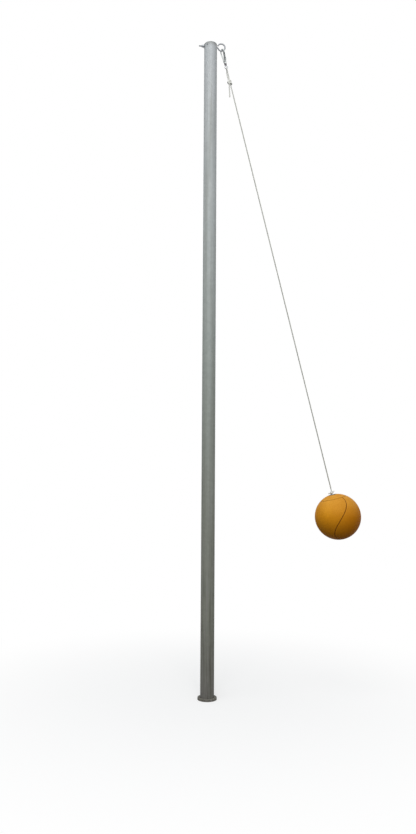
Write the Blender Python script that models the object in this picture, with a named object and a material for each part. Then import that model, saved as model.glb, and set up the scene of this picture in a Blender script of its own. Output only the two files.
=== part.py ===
"""Tetherball pole: a pole in a ground sleeve, with a ball on a rope hung from an eye bolt by a swivel snap.

Metres, +Z up. The origin is on the pole's axis at ground level. The eye bolt points along +X, and the
tether hangs in the XZ plane, swung out towards +X. Everything below the eye bolt is modelled down the
tether line: local +Z runs from the eye's centre down the line to the ball, and local +X lies in the
plane of the swing, on the side away from the pole.
"""
import math
from math import cos, pi, radians, sin, sqrt, tau

import bmesh
import bpy
from mathutils import Matrix, Vector

# Clearance between pieces that seat on each other
SEAT_GAP = 0.0003

# Ground sleeve
SLEEVE_OD = 0.0730
SLEEVE_WALL = 0.00515
SLEEVE_DEPTH = 0.600
SLEEVE_PROUD = 0.010
COLLAR_OD = 0.0840
COLLAR_HEIGHT = 0.030
COLLAR_EDGE = 0.0020
BASE_PLATE_SIDE = 0.110
BASE_PLATE_THICKNESS = 0.006
DRAIN_HOLE_D = 0.014
CROSS_PIN_D = 0.0120
CROSS_PIN_HEIGHT = 0.045

# Pole
POLE_OD = 0.0603
POLE_WALL = 0.0028
POLE_HEIGHT = 3.000
FOOT_SLOT_CLEARANCE = 0.0010
FOOT_SLOT_ABOVE_PIN = 0.0060

# Cap on the pole's top
CAP_LIP = 0.0016
CAP_RISE = 0.0024
CAP_SHEET = 0.0012
CAP_SKIRT = 0.0200
CAP_SCREW_DROP = 0.0115
CAP_SCREW_TURN = radians(-128.0)
CAP_SCREW_SHANK_D = 0.0036
CAP_SCREW_HEAD_D = 0.0062
CAP_SCREW_HEAD_HEIGHT = 0.0018
CAP_SCREW_LENGTH = 0.0090

# Eye bolt, bent from round wire
EYE_WIRE = 0.00635
EYE_DROP = 0.0080
EYE_CENTRE_X = 0.0515
EYE_RING_LIFT = 0.0020
EYE_RING_RADIUS = 0.0175
EYE_END_ANGLE = radians(163.0)
EYE_HOLE_CLEARANCE = 0.0005
EYE_TIP_BEYOND_NUTS = 0.0130
WASHER_OD = 0.0180
WASHER_THICKNESS = 0.0016
NUT_ACROSS_FLATS = 0.0111
NUT_HEIGHT = 0.0056
JAM_NUT_HEIGHT = 0.0040

# Tether line: its lean from vertical at rest, and distances down it from the eye's centre
TETHER_LEAN = radians(13.9)
BALL_CENTRE_DROP = 2.2760

# Snap hook, local +X towards the gate
SNAP_TURN = radians(60.0)
SNAP_BAR = 0.0056
SNAP_BOW_RADIUS = 0.0112
SNAP_NOSE_DROP = 0.0084
SNAP_TONGUE = 0.0044
SNAP_TONGUE_LENGTH = 0.0066
SNAP_HUB_TOP = 0.0660
SNAP_HUB_THICKNESS = 0.0074
SNAP_BOSS_OD = 0.0112
SNAP_BOSS_TOP = 0.0730
SNAP_BOSS_BOTTOM = 0.0895
GATE_PIVOT_X = 0.0060
GATE_PIVOT_DROP = 0.0610
GATE_SHEET = 0.0010
GATE_DEPTH = 0.0052
GATE_TAIL_RADIUS = 0.0040
GATE_RIVET_D = 0.0030
SPRING_SHEET = 0.0005
SPRING_WIDTH = 0.0034

# Swivel eye
SWIVEL_STEM_D = 0.0056
SWIVEL_BORE_CLEARANCE = 0.0003
SWIVEL_HEAD_D = 0.0080
SWIVEL_HEAD_HEIGHT = 0.0024
SWIVEL_EYE_BORE = 0.0100
SWIVEL_EYE_WIRE = 0.0036
SWIVEL_SHOULDER_D = 0.0090
SWIVEL_SHOULDER_HEIGHT = 0.0018

# Rope
ROPE_D = 0.0050
TOP_KNOT_DROP = 0.0671
TOP_KNOT_TWIST = -108.0
BALL_KNOT_DROP = 0.0215
TOP_TAG_LENGTH = 0.0710
TOP_TAG_LEAN = radians(3.5)
BALL_TAG_LENGTH = 0.0160
KNOT_STEP = 0.0022
ROPE_POINTS = 64

# Ball
BALL_RADIUS = 0.1040
COVER_THICKNESS = 0.0022
BLADDER_THICKNESS = 0.0012
BLADDER_MOUTH_GAP = 0.0010
SEAM_WIDTH = 0.0040
SEAM_DEPTH = 0.0011
ROUND_SEAM_ANGLE = radians(34.2)
LONG_SEAM_TURN = radians(99.8)
LONG_SEAM_SWAY = radians(34.5)
ANCHOR_PIN_D = 0.0050
ANCHOR_PIN_DEPTH = 0.0120
ANCHOR_CUP_RADIUS = 0.0110
ANCHOR_MOUTH_RADIUS = 0.0146
ANCHOR_CUP_WALL = 0.0030
ANCHOR_CUP_DEPTH = 0.0235
ANCHOR_RIM_RADIUS = 0.0185
VALVE_RADIUS = 0.0050
VALVE_BULB_RADIUS = 0.0072
VALVE_LENGTH = 0.0170
VALVE_NEEDLE_D = 0.0016

# Facets round a full turn
PIPE_SEGMENTS = 48
SMALL_SEGMENTS = 24
BALL_SEGMENTS = 48

# Sizes that follow from the ones above
POLE_RADIUS = POLE_OD / 2
POLE_BORE = POLE_RADIUS - POLE_WALL
POLE_FOOT = -SLEEVE_DEPTH + SEAT_GAP
EYE_HEIGHT = POLE_HEIGHT - EYE_DROP
EYE_CENTRE = Vector((EYE_CENTRE_X, 0.0, EYE_HEIGHT + EYE_RING_LIFT))
SNAP_BOW_TOP = EYE_RING_RADIUS - EYE_WIRE / 2 - SEAT_GAP
SNAP_BOW_CENTRE = SNAP_BOW_TOP - SNAP_BAR / 2 + SNAP_BOW_RADIUS
SWIVEL_EYE_RADIUS = (SWIVEL_EYE_BORE + SWIVEL_EYE_WIRE) / 2
SWIVEL_SHOULDER_FOOT = SNAP_BOSS_BOTTOM + SEAT_GAP + SWIVEL_SHOULDER_HEIGHT
SWIVEL_EYE_CENTRE = SWIVEL_SHOULDER_FOOT + SWIVEL_EYE_BORE / 2 + SWIVEL_EYE_WIRE * 0.8
TOP_BAR_DROP = SWIVEL_EYE_CENTRE + SWIVEL_EYE_RADIUS
BALL_BAR_DROP = BALL_CENTRE_DROP - BALL_RADIUS + ANCHOR_PIN_DEPTH


def clear_scene():
    for old in list(bpy.data.objects):
        bpy.data.objects.remove(old, do_unlink=True)


def material(name, colour, roughness, metallic=0.0):
    made = bpy.data.materials.new(name)
    made.use_nodes = True
    shader = made.node_tree.nodes["Principled BSDF"]
    shader.inputs["Base Color"].default_value = (*colour, 1.0)
    shader.inputs["Roughness"].default_value = roughness
    shader.inputs["Metallic"].default_value = metallic
    made.diffuse_color = (*colour, 1.0)
    return made


def place(obj, parent=None, location=(0, 0, 0), rotation=(0, 0, 0)):
    obj.parent = parent
    obj.location = location
    obj.rotation_euler = rotation
    return obj


def finish_mesh(name, bm, paint, smooth=True):
    """Turns a bmesh into an object whose faces point outwards."""
    bmesh.ops.remove_doubles(bm, verts=bm.verts, dist=1e-7)
    bmesh.ops.recalc_face_normals(bm, faces=bm.faces)
    mesh = bpy.data.meshes.new(name)
    bm.to_mesh(mesh)
    bm.free()
    if smooth:
        mesh.shade_smooth()
        mesh.set_sharp_from_angle(angle=radians(35.0))
    obj = bpy.data.objects.new(name, mesh)
    bpy.context.scene.collection.objects.link(obj)
    if paint:
        mesh.materials.append(paint)
    return obj


def lathe(name, profile, paint, segments=SMALL_SEGMENTS):
    """Turns a closed outline of (radius, height) points about the local Z axis."""
    bm = bmesh.new()
    turns = [tau * i / segments for i in range(segments)]
    rings = []
    for r, z in profile:
        if r < 1e-9:
            rings.append([bm.verts.new((0, 0, z))] * segments)
        else:
            rings.append([bm.verts.new((r * cos(a), r * sin(a), z)) for a in turns])
    for near, far in zip(rings, rings[1:] + rings[:1]):
        for i in range(segments):
            j = (i + 1) % segments
            corners = list(dict.fromkeys((near[i], near[j], far[j], far[i])))
            if len(corners) > 2:
                bm.faces.new(corners)
    return finish_mesh(name, bm, paint)


def extrusion(name, outline, thickness, paint, bevel=0.0):
    """Extrudes an outline of local (x, z) points, centred on the local XZ plane."""
    bm = bmesh.new()
    face = bm.faces.new([bm.verts.new((x, -thickness / 2, z)) for x, z in outline])
    grown = bmesh.ops.extrude_face_region(bm, geom=[face])
    moved = [v for v in grown["geom"] if isinstance(v, bmesh.types.BMVert)]
    bmesh.ops.translate(bm, verts=moved, vec=(0, thickness, 0))
    if bevel:
        rims = [e for e in bm.edges if abs(e.verts[0].co.y - e.verts[1].co.y) < 1e-9]
        bmesh.ops.bevel(bm, geom=rims, offset=bevel, segments=1, affect="EDGES")
    return finish_mesh(name, bm, paint)


def rod(name, radius, length, paint=None, segments=SMALL_SEGMENTS):
    """A cylinder along local Z, centred on its origin."""
    half = length / 2
    return lathe(name, [(0, -half), (radius, -half), (radius, half), (0, half)], paint, segments)


def block(name, size, paint=None):
    bm = bmesh.new()
    bmesh.ops.create_cube(bm, size=1.0)
    bmesh.ops.scale(bm, vec=size, verts=bm.verts)
    return finish_mesh(name, bm, paint, smooth=False)


def tube(name, points, diameter, paint, sides_level=2, closed=False):
    """A round bar or rope along the given points, with flat ends."""
    curve = bpy.data.curves.new(name, "CURVE")
    curve.dimensions = "3D"
    spline = curve.splines.new("POLY")
    spline.points.add(len(points) - 1)
    for point, co in zip(spline.points, points):
        point.co = (*co, 1.0)
    spline.use_cyclic_u = closed
    spline.use_smooth = True
    curve.bevel_depth = diameter / 2
    curve.bevel_resolution = sides_level
    curve.use_fill_caps = not closed
    obj = bpy.data.objects.new(name, curve)
    bpy.context.scene.collection.objects.link(obj)
    if paint:
        curve.materials.append(paint)
    return obj


def tube_mesh(name, points, diameter, paint, sides_level=2, closed=False):
    """The same bar as a mesh, for use in a Boolean."""
    guide = tube(name + "_path", points, diameter, None, sides_level, closed)
    mesh = bpy.data.meshes.new_from_object(guide.evaluated_get(bpy.context.evaluated_depsgraph_get()))
    bpy.data.objects.remove(guide, do_unlink=True)
    bm = bmesh.new()
    bm.from_mesh(mesh)
    bpy.data.meshes.remove(mesh)
    return finish_mesh(name, bm, paint)


def helper(obj, parent=None, location=(0, 0, 0), rotation=(0, 0, 0)):
    """Marks an object that only shapes another one."""
    obj.hide_render = True
    obj.display_type = "WIRE"
    return place(obj, parent, location, rotation)


def combine(target, other, operation="DIFFERENCE"):
    step = target.modifiers.new(other.name, "BOOLEAN")
    step.operation = operation
    step.solver = "EXACT"
    step.object = other


def arc(centre, radius, start, end, steps):
    """Points (x, z) along an arc, both ends included."""
    turns = [start + (end - start) * i / steps for i in range(steps + 1)]
    return [(centre[0] + radius * cos(a), centre[1] + radius * sin(a)) for a in turns]


def smooth_route(route, step):
    """A smooth curve through the route's points, read at even steps along its length."""
    route = [Vector(p) for p in route]
    spans = [(b - a).length for a, b in zip(route, route[1:])]
    slopes = [(b - a) / h for a, b, h in zip(route, route[1:], spans)]
    tangents = [slopes[0]]
    for before, after, h0, h1 in zip(slopes, slopes[1:], spans, spans[1:]):
        tangents.append((before * h1 + after * h0) / (h0 + h1))
    tangents.append(slopes[-1])
    fine = []
    for a, b, m0, m1, h in zip(route, route[1:], tangents, tangents[1:], spans):
        for i in range(12):
            t = i / 12
            ease = t * t * (3 - 2 * t)
            fine.append(a + (b - a) * ease + (m0 * t * (1 - t) ** 2 - m1 * t * t * (1 - t)) * h)
    fine.append(route[-1])
    return even_points(fine, step)


def even_points(line, step):
    """Reads a dense line again at equal steps of about the given length."""
    reach = [0.0]
    for a, b in zip(line, line[1:]):
        reach.append(reach[-1] + (b - a).length)
    count = max(2, round(reach[-1] / step))
    out = []
    i = 0
    for n in range(count + 1):
        want = reach[-1] * n / count
        while i < len(reach) - 2 and reach[i + 1] < want:
            i += 1
        share = (want - reach[i]) / (reach[i + 1] - reach[i])
        out.append(line[i].lerp(line[i + 1], min(share, 1.0)))
    return out


def least_self_gap(points, diameter):
    """The smallest clearance between stretches of one rope that lie apart along its length."""
    apart = int(2.2 * diameter / (points[1] - points[0]).length) + 1
    return min(
        (points[i] - points[j]).length - diameter
        for i in range(len(points))
        for j in range(i + apart, len(points))
    )


def sleeve_tube(paint):
    outer = SLEEVE_OD / 2
    inner = outer - SLEEVE_WALL
    profile = [(inner, -SLEEVE_DEPTH), (outer, -SLEEVE_DEPTH), (outer, SLEEVE_PROUD), (inner, SLEEVE_PROUD)]
    tube_body = place(lathe("sleeve_tube", profile, paint, PIPE_SEGMENTS))
    hole = rod("cross_pin_hole", CROSS_PIN_D / 2 + SEAT_GAP, SLEEVE_OD * 1.5)
    helper(hole, location=(0, 0, -SLEEVE_DEPTH + CROSS_PIN_HEIGHT), rotation=(pi / 2, 0, 0))
    combine(tube_body, hole)


def sleeve_collar(paint):
    outer = COLLAR_OD / 2
    inner = SLEEVE_OD / 2 + SEAT_GAP
    low = SLEEVE_PROUD - COLLAR_HEIGHT
    profile = [
        (inner, low),
        (outer, low),
        *arc((outer - COLLAR_EDGE, SLEEVE_PROUD - COLLAR_EDGE), COLLAR_EDGE, 0, pi / 2, 3),
        (inner, SLEEVE_PROUD),
    ]
    place(lathe("sleeve_collar", profile, paint, PIPE_SEGMENTS))


def sleeve_base_plate(paint):
    half = BASE_PLATE_SIDE / 2
    corner = half * 0.18
    outline = [
        point
        for sx, sy, start in ((1, -1, -pi / 2), (1, 1, 0), (-1, 1, pi / 2), (-1, -1, pi))
        for point in arc((sx * (half - corner), sy * (half - corner)), corner, start, start + pi / 2, 3)
    ]
    plate = extrusion("sleeve_base_plate", outline, BASE_PLATE_THICKNESS, paint)
    middle = -SLEEVE_DEPTH - SEAT_GAP - BASE_PLATE_THICKNESS / 2
    place(plate, location=(0, 0, middle), rotation=(pi / 2, 0, 0))
    drain = rod("drain_hole", DRAIN_HOLE_D / 2, BASE_PLATE_THICKNESS * 3)
    helper(drain, location=(0, 0, middle))
    combine(plate, drain)


def sleeve_cross_pin(paint):
    pin = rod("sleeve_cross_pin", CROSS_PIN_D / 2, SLEEVE_OD, paint)
    place(pin, location=(0, 0, -SLEEVE_DEPTH + CROSS_PIN_HEIGHT), rotation=(pi / 2, 0, 0))


def eye_bolt_hole(parent):
    hole = rod("eye_bolt_hole", EYE_WIRE / 2 + EYE_HOLE_CLEARANCE, POLE_OD * 1.5)
    return helper(hole, parent, (0, 0, EYE_HEIGHT), (0, pi / 2, 0))


def cap_screw_place():
    """Where the screw's head meets the pole, and the turn that points its local Z outwards."""
    height = POLE_HEIGHT - CAP_SCREW_DROP
    out = Vector((cos(CAP_SCREW_TURN), sin(CAP_SCREW_TURN), 0.0))
    return Vector((0, 0, height)) + out * POLE_RADIUS, (0, pi / 2, CAP_SCREW_TURN)


def pole_tube(paint, parent, bolt_hole, screw_hole):
    profile = [
        (POLE_BORE, POLE_FOOT),
        (POLE_RADIUS, POLE_FOOT),
        (POLE_RADIUS, POLE_HEIGHT),
        (POLE_BORE, POLE_HEIGHT),
    ]
    tube_body = place(lathe("pole_tube", profile, paint, PIPE_SEGMENTS), parent)
    width = CROSS_PIN_D + 2 * FOOT_SLOT_CLEARANCE
    top = -SLEEVE_DEPTH + CROSS_PIN_HEIGHT + CROSS_PIN_D / 2 + FOOT_SLOT_ABOVE_PIN
    shoulder = top - width / 2
    low = POLE_FOOT - width
    outline = [(-width / 2, low), (width / 2, low), *arc((0, shoulder), width / 2, 0, pi, 8)]
    slot = helper(extrusion("foot_slot", outline, POLE_OD * 1.5, None), parent)
    for cutter in (slot, bolt_hole, screw_hole):
        combine(tube_body, cutter)


def pole_cap(paint, parent, bolt_hole, screw_hole):
    """A pressed cap: domed head, a lip over the pipe's end, and a skirt inside the pipe."""
    skirt = POLE_BORE - SEAT_GAP
    seat = POLE_HEIGHT + SEAT_GAP
    brim = seat + CAP_LIP
    foot = POLE_HEIGHT - CAP_SKIRT
    sphere = (skirt * skirt + CAP_RISE * CAP_RISE) / (2 * CAP_RISE)
    spread = math.asin(skirt / sphere)
    centre = brim + CAP_RISE - sphere
    dome = arc((0, centre), sphere, pi / 2 - spread, pi / 2, 5)
    under = arc((0, centre), sphere - CAP_SHEET, pi / 2, pi / 2 - spread * 0.93, 5)
    profile = [
        (skirt, foot),
        (skirt, seat),
        (POLE_RADIUS, seat),
        (POLE_RADIUS, brim - CAP_LIP * 0.4),
        (POLE_RADIUS - CAP_LIP * 0.4, brim),
        *dome,
        *under,
        (skirt - CAP_SHEET, foot),
    ]
    cap = place(lathe("pole_cap", profile, paint, PIPE_SEGMENTS), parent)
    for cutter in (bolt_hole, screw_hole):
        combine(cap, cutter)


def cap_screw(paint, parent):
    shank = CAP_SCREW_SHANK_D / 2
    head = CAP_SCREW_HEAD_D / 2
    # the flat head bridges the pipe's curve, so it sits off it by the curve's rise
    seat = SEAT_GAP
    rise = CAP_SCREW_HEAD_HEIGHT
    profile = [
        (0, -CAP_SCREW_LENGTH),
        (shank * 0.55, -CAP_SCREW_LENGTH + shank),
        (shank, -CAP_SCREW_LENGTH + 2.2 * shank),
        (shank, seat),
        (head, seat),
        (head, seat + rise * 0.35),
        (head * 0.72, seat + rise * 0.85),
        (head * 0.30, seat + rise),
        (0, seat + rise),
    ]
    spot, turn = cap_screw_place()
    place(lathe("cap_screw", profile, paint, 16), parent, spot, turn)


def eye_bolt(paint, parent):
    """Wire laid along X through the pole, bent down to one side and round into an eye."""
    wall = POLE_RADIUS
    tip = -(wall + SEAT_GAP * 3 + WASHER_THICKNESS + NUT_HEIGHT + JAM_NUT_HEIGHT + EYE_TIP_BEYOND_NUTS)
    start = radians(-122.0)
    ring = arc((EYE_CENTRE_X, EYE_RING_LIFT), EYE_RING_RADIUS, start, EYE_END_ANGLE, 30)
    neck = [(wall + 0.0006, 0.0), (wall + 0.0022, -0.0005), (wall + 0.0042, -0.0026)]
    bend = smooth_route([(x, 0, z) for x, z in [(wall - 0.004, 0.0), *neck, *ring[:3]]], 0.0016)
    path = [Vector((tip, 0, 0)), Vector((0, 0, 0)), *bend[:-1], *[Vector((x, 0, z)) for x, z in ring[2:]]]
    place(tube("eye_bolt", path, EYE_WIRE, paint, 4), parent, (0, 0, EYE_HEIGHT))


def hex_nut(name, height, paint, parent, outer_face):
    """A hexagon nut on the eye bolt, its corners turned down at 30 degrees."""
    corner = NUT_ACROSS_FLATS / sqrt(3)
    bore = EYE_WIRE / 2 + SEAT_GAP
    outline = [(corner * cos(i * tau / 6), corner * sin(i * tau / 6)) for i in range(6)]
    nut = extrusion(name, outline, height, paint)
    place(nut, parent, (outer_face + height / 2, 0, EYE_HEIGHT), (0, 0, pi / 2))
    round_off = lathe(
        name + "_chamfer",
        [
            (0, -height / 2 - SEAT_GAP),
            (NUT_ACROSS_FLATS / 2 - SEAT_GAP, -height / 2 - SEAT_GAP),
            (corner * 1.08, -height / 2 + corner * 0.12),
            (corner * 1.08, height / 2 - corner * 0.12),
            (NUT_ACROSS_FLATS / 2 - SEAT_GAP, height / 2 + SEAT_GAP),
            (0, height / 2 + SEAT_GAP),
        ],
        None,
    )
    hole = rod(name + "_bore", bore, height * 3)
    for shaper, operation in ((round_off, "INTERSECT"), (hole, "DIFFERENCE")):
        helper(shaper, parent, nut.location, (0, pi / 2, 0))
        combine(nut, shaper, operation)


def eye_bolt_fixings(paint, parent):
    """Washer, nut and jam nut on the threaded end, on the side away from the eye."""
    inner = EYE_WIRE / 2 + SEAT_GAP
    outer = WASHER_OD / 2
    edge = WASHER_THICKNESS * 0.2
    half = WASHER_THICKNESS / 2
    profile = [
        (inner, -half), (outer - edge, -half), (outer, -half + edge), (outer, half - edge),
        (outer - edge, half), (inner, half),
    ]
    face = -POLE_RADIUS - SEAT_GAP
    washer = lathe("eye_bolt_washer", profile, paint)
    place(washer, parent, (face - half, 0, EYE_HEIGHT), (0, pi / 2, 0))
    nut_face = face - WASHER_THICKNESS - SEAT_GAP - NUT_HEIGHT
    hex_nut("eye_bolt_nut", NUT_HEIGHT, paint, parent, nut_face)
    hex_nut("eye_bolt_jam_nut", JAM_NUT_HEIGHT, paint, parent, nut_face - SEAT_GAP - JAM_NUT_HEIGHT)


def gate_line(drop):
    """The sideways place of the snap's gate-side centreline at a distance down the tether line."""
    share = (drop - SNAP_BOW_CENTRE) / (GATE_PIVOT_DROP - SNAP_BOW_CENTRE)
    return SNAP_BOW_RADIUS + (GATE_PIVOT_X - SNAP_BOW_RADIUS) * share


def snap_hook_body(paint, parent):
    """Cast body: spine, bow and nose of round bar on a hub with the gate's ear and the swivel's boss."""
    nose_end = SNAP_BOW_CENTRE + SNAP_NOSE_DROP
    bow = arc((0, SNAP_BOW_CENTRE), SNAP_BOW_RADIUS, pi, tau, 14)
    bar_path = [
        (-SNAP_BOSS_OD * 0.30, 0, SNAP_BOSS_TOP + 0.002),
        (-SNAP_BOSS_OD * 0.42, 0, SNAP_HUB_TOP),
        (-SNAP_BOW_RADIUS * 0.72, 0, (SNAP_HUB_TOP + SNAP_BOW_CENTRE) / 2),
        *[(x, 0, z) for x, z in bow],
        (gate_line(nose_end), 0, nose_end),
    ]
    body = place(tube_mesh("snap_hook_body", bar_path, SNAP_BAR, paint, 4), parent)

    side = SNAP_BOSS_OD * 0.66
    hub_outline = [
        (-side, SNAP_HUB_TOP - 0.006),
        (-side * 0.55, SNAP_HUB_TOP),
        (side * 0.75, SNAP_HUB_TOP),
        (side, SNAP_HUB_TOP + 0.0015),
        (side, SNAP_BOSS_TOP),
        (side * 0.80, SNAP_BOSS_TOP + 0.0045),
        (-side * 0.80, SNAP_BOSS_TOP + 0.0045),
        (-side * 1.04, SNAP_BOSS_TOP),
    ]
    hub = extrusion("snap_hub", hub_outline, SNAP_HUB_THICKNESS, None, 0.0010)
    ear_outline = [
        *arc((GATE_PIVOT_X, GATE_PIVOT_DROP), GATE_TAIL_RADIUS * 0.92, radians(150), radians(360), 8),
        (GATE_PIVOT_X + GATE_TAIL_RADIUS * 0.92, SNAP_HUB_TOP + 0.003),
        (GATE_PIVOT_X - GATE_TAIL_RADIUS * 0.92, SNAP_HUB_TOP + 0.003),
    ]
    ear = extrusion("snap_ear", ear_outline, SNAP_TONGUE, None)
    boss = lathe(
        "snap_boss",
        [
            (0, SNAP_BOSS_TOP - 0.001),
            (SNAP_BOSS_OD / 2, SNAP_BOSS_TOP - 0.001),
            (SNAP_BOSS_OD / 2, SNAP_BOSS_BOTTOM - 0.0008),
            (SNAP_BOSS_OD / 2 - 0.0008, SNAP_BOSS_BOTTOM),
            (0, SNAP_BOSS_BOTTOM),
        ],
        None,
    )
    for piece in (hub, ear, boss):
        combine(body, helper(piece, parent), "UNION")

    room = SWIVEL_HEAD_HEIGHT + 4 * SEAT_GAP
    window = block("swivel_window", (SWIVEL_HEAD_D + 4 * SEAT_GAP, SNAP_BOSS_OD * 2, room))
    helper(window, parent, (0, 0, SNAP_BOSS_TOP - room / 2))
    bore_length = SNAP_BOSS_BOTTOM - SNAP_BOSS_TOP + room
    bore = rod("swivel_bore", SWIVEL_STEM_D / 2 + SWIVEL_BORE_CLEARANCE, bore_length)
    helper(bore, parent, (0, 0, (SNAP_BOSS_TOP + SNAP_BOSS_BOTTOM) / 2))
    rivet_hole = rod("gate_rivet_hole", GATE_RIVET_D / 2 + SEAT_GAP, SNAP_BAR * 3, segments=16)
    helper(rivet_hole, parent, (GATE_PIVOT_X, 0, GATE_PIVOT_DROP), (pi / 2, 0, 0))
    for cutter in (bore, window, rivet_hole):
        combine(body, cutter)
    for side_sign in (-1, 1):
        shave = block(f"nose_flat_{side_sign}", (SNAP_BAR * 2, SNAP_BAR, SNAP_TONGUE_LENGTH * 2))
        middle = nose_end - SNAP_TONGUE_LENGTH + SNAP_TONGUE_LENGTH
        helper(
            shave, parent, (SNAP_BOW_RADIUS, side_sign * (SNAP_TONGUE + SNAP_BAR) / 2, middle)
        )
        combine(body, shave)


def snap_gate(paint, parent):
    """Pressed channel: its web closes on the inside of the nose, and its cheeks straddle nose and ear."""
    inner = SNAP_TONGUE + 2 * SEAT_GAP
    web_offset = SNAP_BAR / 2 + SEAT_GAP
    top = SNAP_BOW_CENTRE + SNAP_NOSE_DROP - SNAP_TONGUE_LENGTH + 0.0012

    def at(drop, offset):
        return (gate_line(drop) - GATE_PIVOT_X + offset, drop - GATE_PIVOT_DROP)

    back = -web_offset - GATE_SHEET
    front = back + GATE_DEPTH
    outline = [
        at(top, back),
        at(top, front - 0.0012),
        at(top + 0.0016, front),
        at(GATE_PIVOT_DROP - 0.012, front + 0.0004),
        *arc((0, 0), GATE_TAIL_RADIUS, radians(-20), radians(150), 9),
        at(GATE_PIVOT_DROP - 0.0045, back),
    ]
    gate = place(extrusion("snap_gate", outline, inner + 2 * GATE_SHEET, paint), parent)
    reach = SNAP_BAR * 2
    hollow_outline = [
        at(top - 0.010, -web_offset),
        at(top - 0.010, reach),
        at(GATE_PIVOT_DROP + 0.010, reach),
        at(GATE_PIVOT_DROP + 0.010, back - reach),
        at(GATE_PIVOT_DROP - 0.0052, back - reach),
        at(GATE_PIVOT_DROP - 0.0052, -web_offset),
    ]
    hollow = helper(extrusion("gate_hollow", hollow_outline, inner, None), parent)
    hole = rod("gate_hole", GATE_RIVET_D / 2 + SEAT_GAP, SNAP_BAR * 3, segments=16)
    helper(hole, parent, rotation=(pi / 2, 0, 0))
    for cutter in (hollow, hole):
        combine(gate, cutter)


def gate_rivet(paint, parent):
    """Solid rivet through the gate's cheeks and the body's ear, with low round heads."""
    shank = GATE_RIVET_D / 2
    head = GATE_RIVET_D * 0.85
    grip = SNAP_TONGUE / 2 + SEAT_GAP + GATE_SHEET + SEAT_GAP
    head_height = GATE_RIVET_D * 0.3
    half = [(head, grip), (head * 0.8, grip + head_height * 0.7), (0, grip + head_height)]
    profile = [
        *[(r, -z) for r, z in reversed(half)],
        (shank, -grip),
        (shank, grip),
        *half,
    ]
    place(lathe("gate_rivet", profile, paint, 16), parent, rotation=(pi / 2, 0, 0))


def gate_spring(paint, parent):
    """Leaf of spring steel: its foot lies on the hub, and its tip presses the gate's web outwards."""
    web = -SNAP_BAR / 2 - SEAT_GAP - GATE_SHEET - SEAT_GAP
    foot = SNAP_HUB_TOP - SEAT_GAP
    tip_drop = SNAP_HUB_TOP - 0.026
    line = [
        (-SNAP_BOSS_OD * 0.12, foot),
        (0.0006, foot),
        (0.0014, foot - 0.0012),
        (gate_line(GATE_PIVOT_DROP - 0.006) + web - 0.0006, GATE_PIVOT_DROP - 0.006),
        (gate_line(tip_drop + 0.004) + web, tip_drop + 0.004),
        (gate_line(tip_drop) + web - 0.0006, tip_drop),
    ]
    backs = [(x - SPRING_SHEET, z - (SPRING_SHEET if i < 2 else 0)) for i, (x, z) in enumerate(line)]
    place(extrusion("gate_spring", line + backs[::-1], SPRING_WIDTH, paint), parent)


def swivel_eye(paint, parent):
    """Round eye in the plane of the swing, with a stem riveted over inside the snap's hub."""
    ring = [
        (SWIVEL_EYE_RADIUS * cos(a), 0, SWIVEL_EYE_CENTRE + SWIVEL_EYE_RADIUS * sin(a))
        for a in (i * tau / 36 for i in range(36))
    ]
    eye = place(tube_mesh("swivel_eye", ring, SWIVEL_EYE_WIRE, paint, 4, closed=True), parent)
    stem = SWIVEL_STEM_D / 2
    head = SWIVEL_HEAD_D / 2
    head_foot = SNAP_BOSS_TOP - SEAT_GAP
    head_top = head_foot - SWIVEL_HEAD_HEIGHT
    shoulder = SNAP_BOSS_BOTTOM + SEAT_GAP
    into_eye = SWIVEL_EYE_CENTRE - SWIVEL_EYE_RADIUS
    profile = [
        (0, head_top),
        (head * 0.6, head_top),
        (head, head_top + SWIVEL_HEAD_HEIGHT * 0.5),
        (head, head_foot),
        (stem, head_foot),
        (stem, shoulder),
        (SWIVEL_SHOULDER_D / 2, shoulder),
        (SWIVEL_SHOULDER_D / 2, SWIVEL_SHOULDER_FOOT),
        (stem, into_eye + SWIVEL_EYE_WIRE * 0.2),
        (0, into_eye + SWIVEL_EYE_WIRE * 0.2),
    ]
    shaft = helper(lathe("swivel_stem", profile, None, 20), parent)
    combine(eye, shaft, "UNION")


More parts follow.
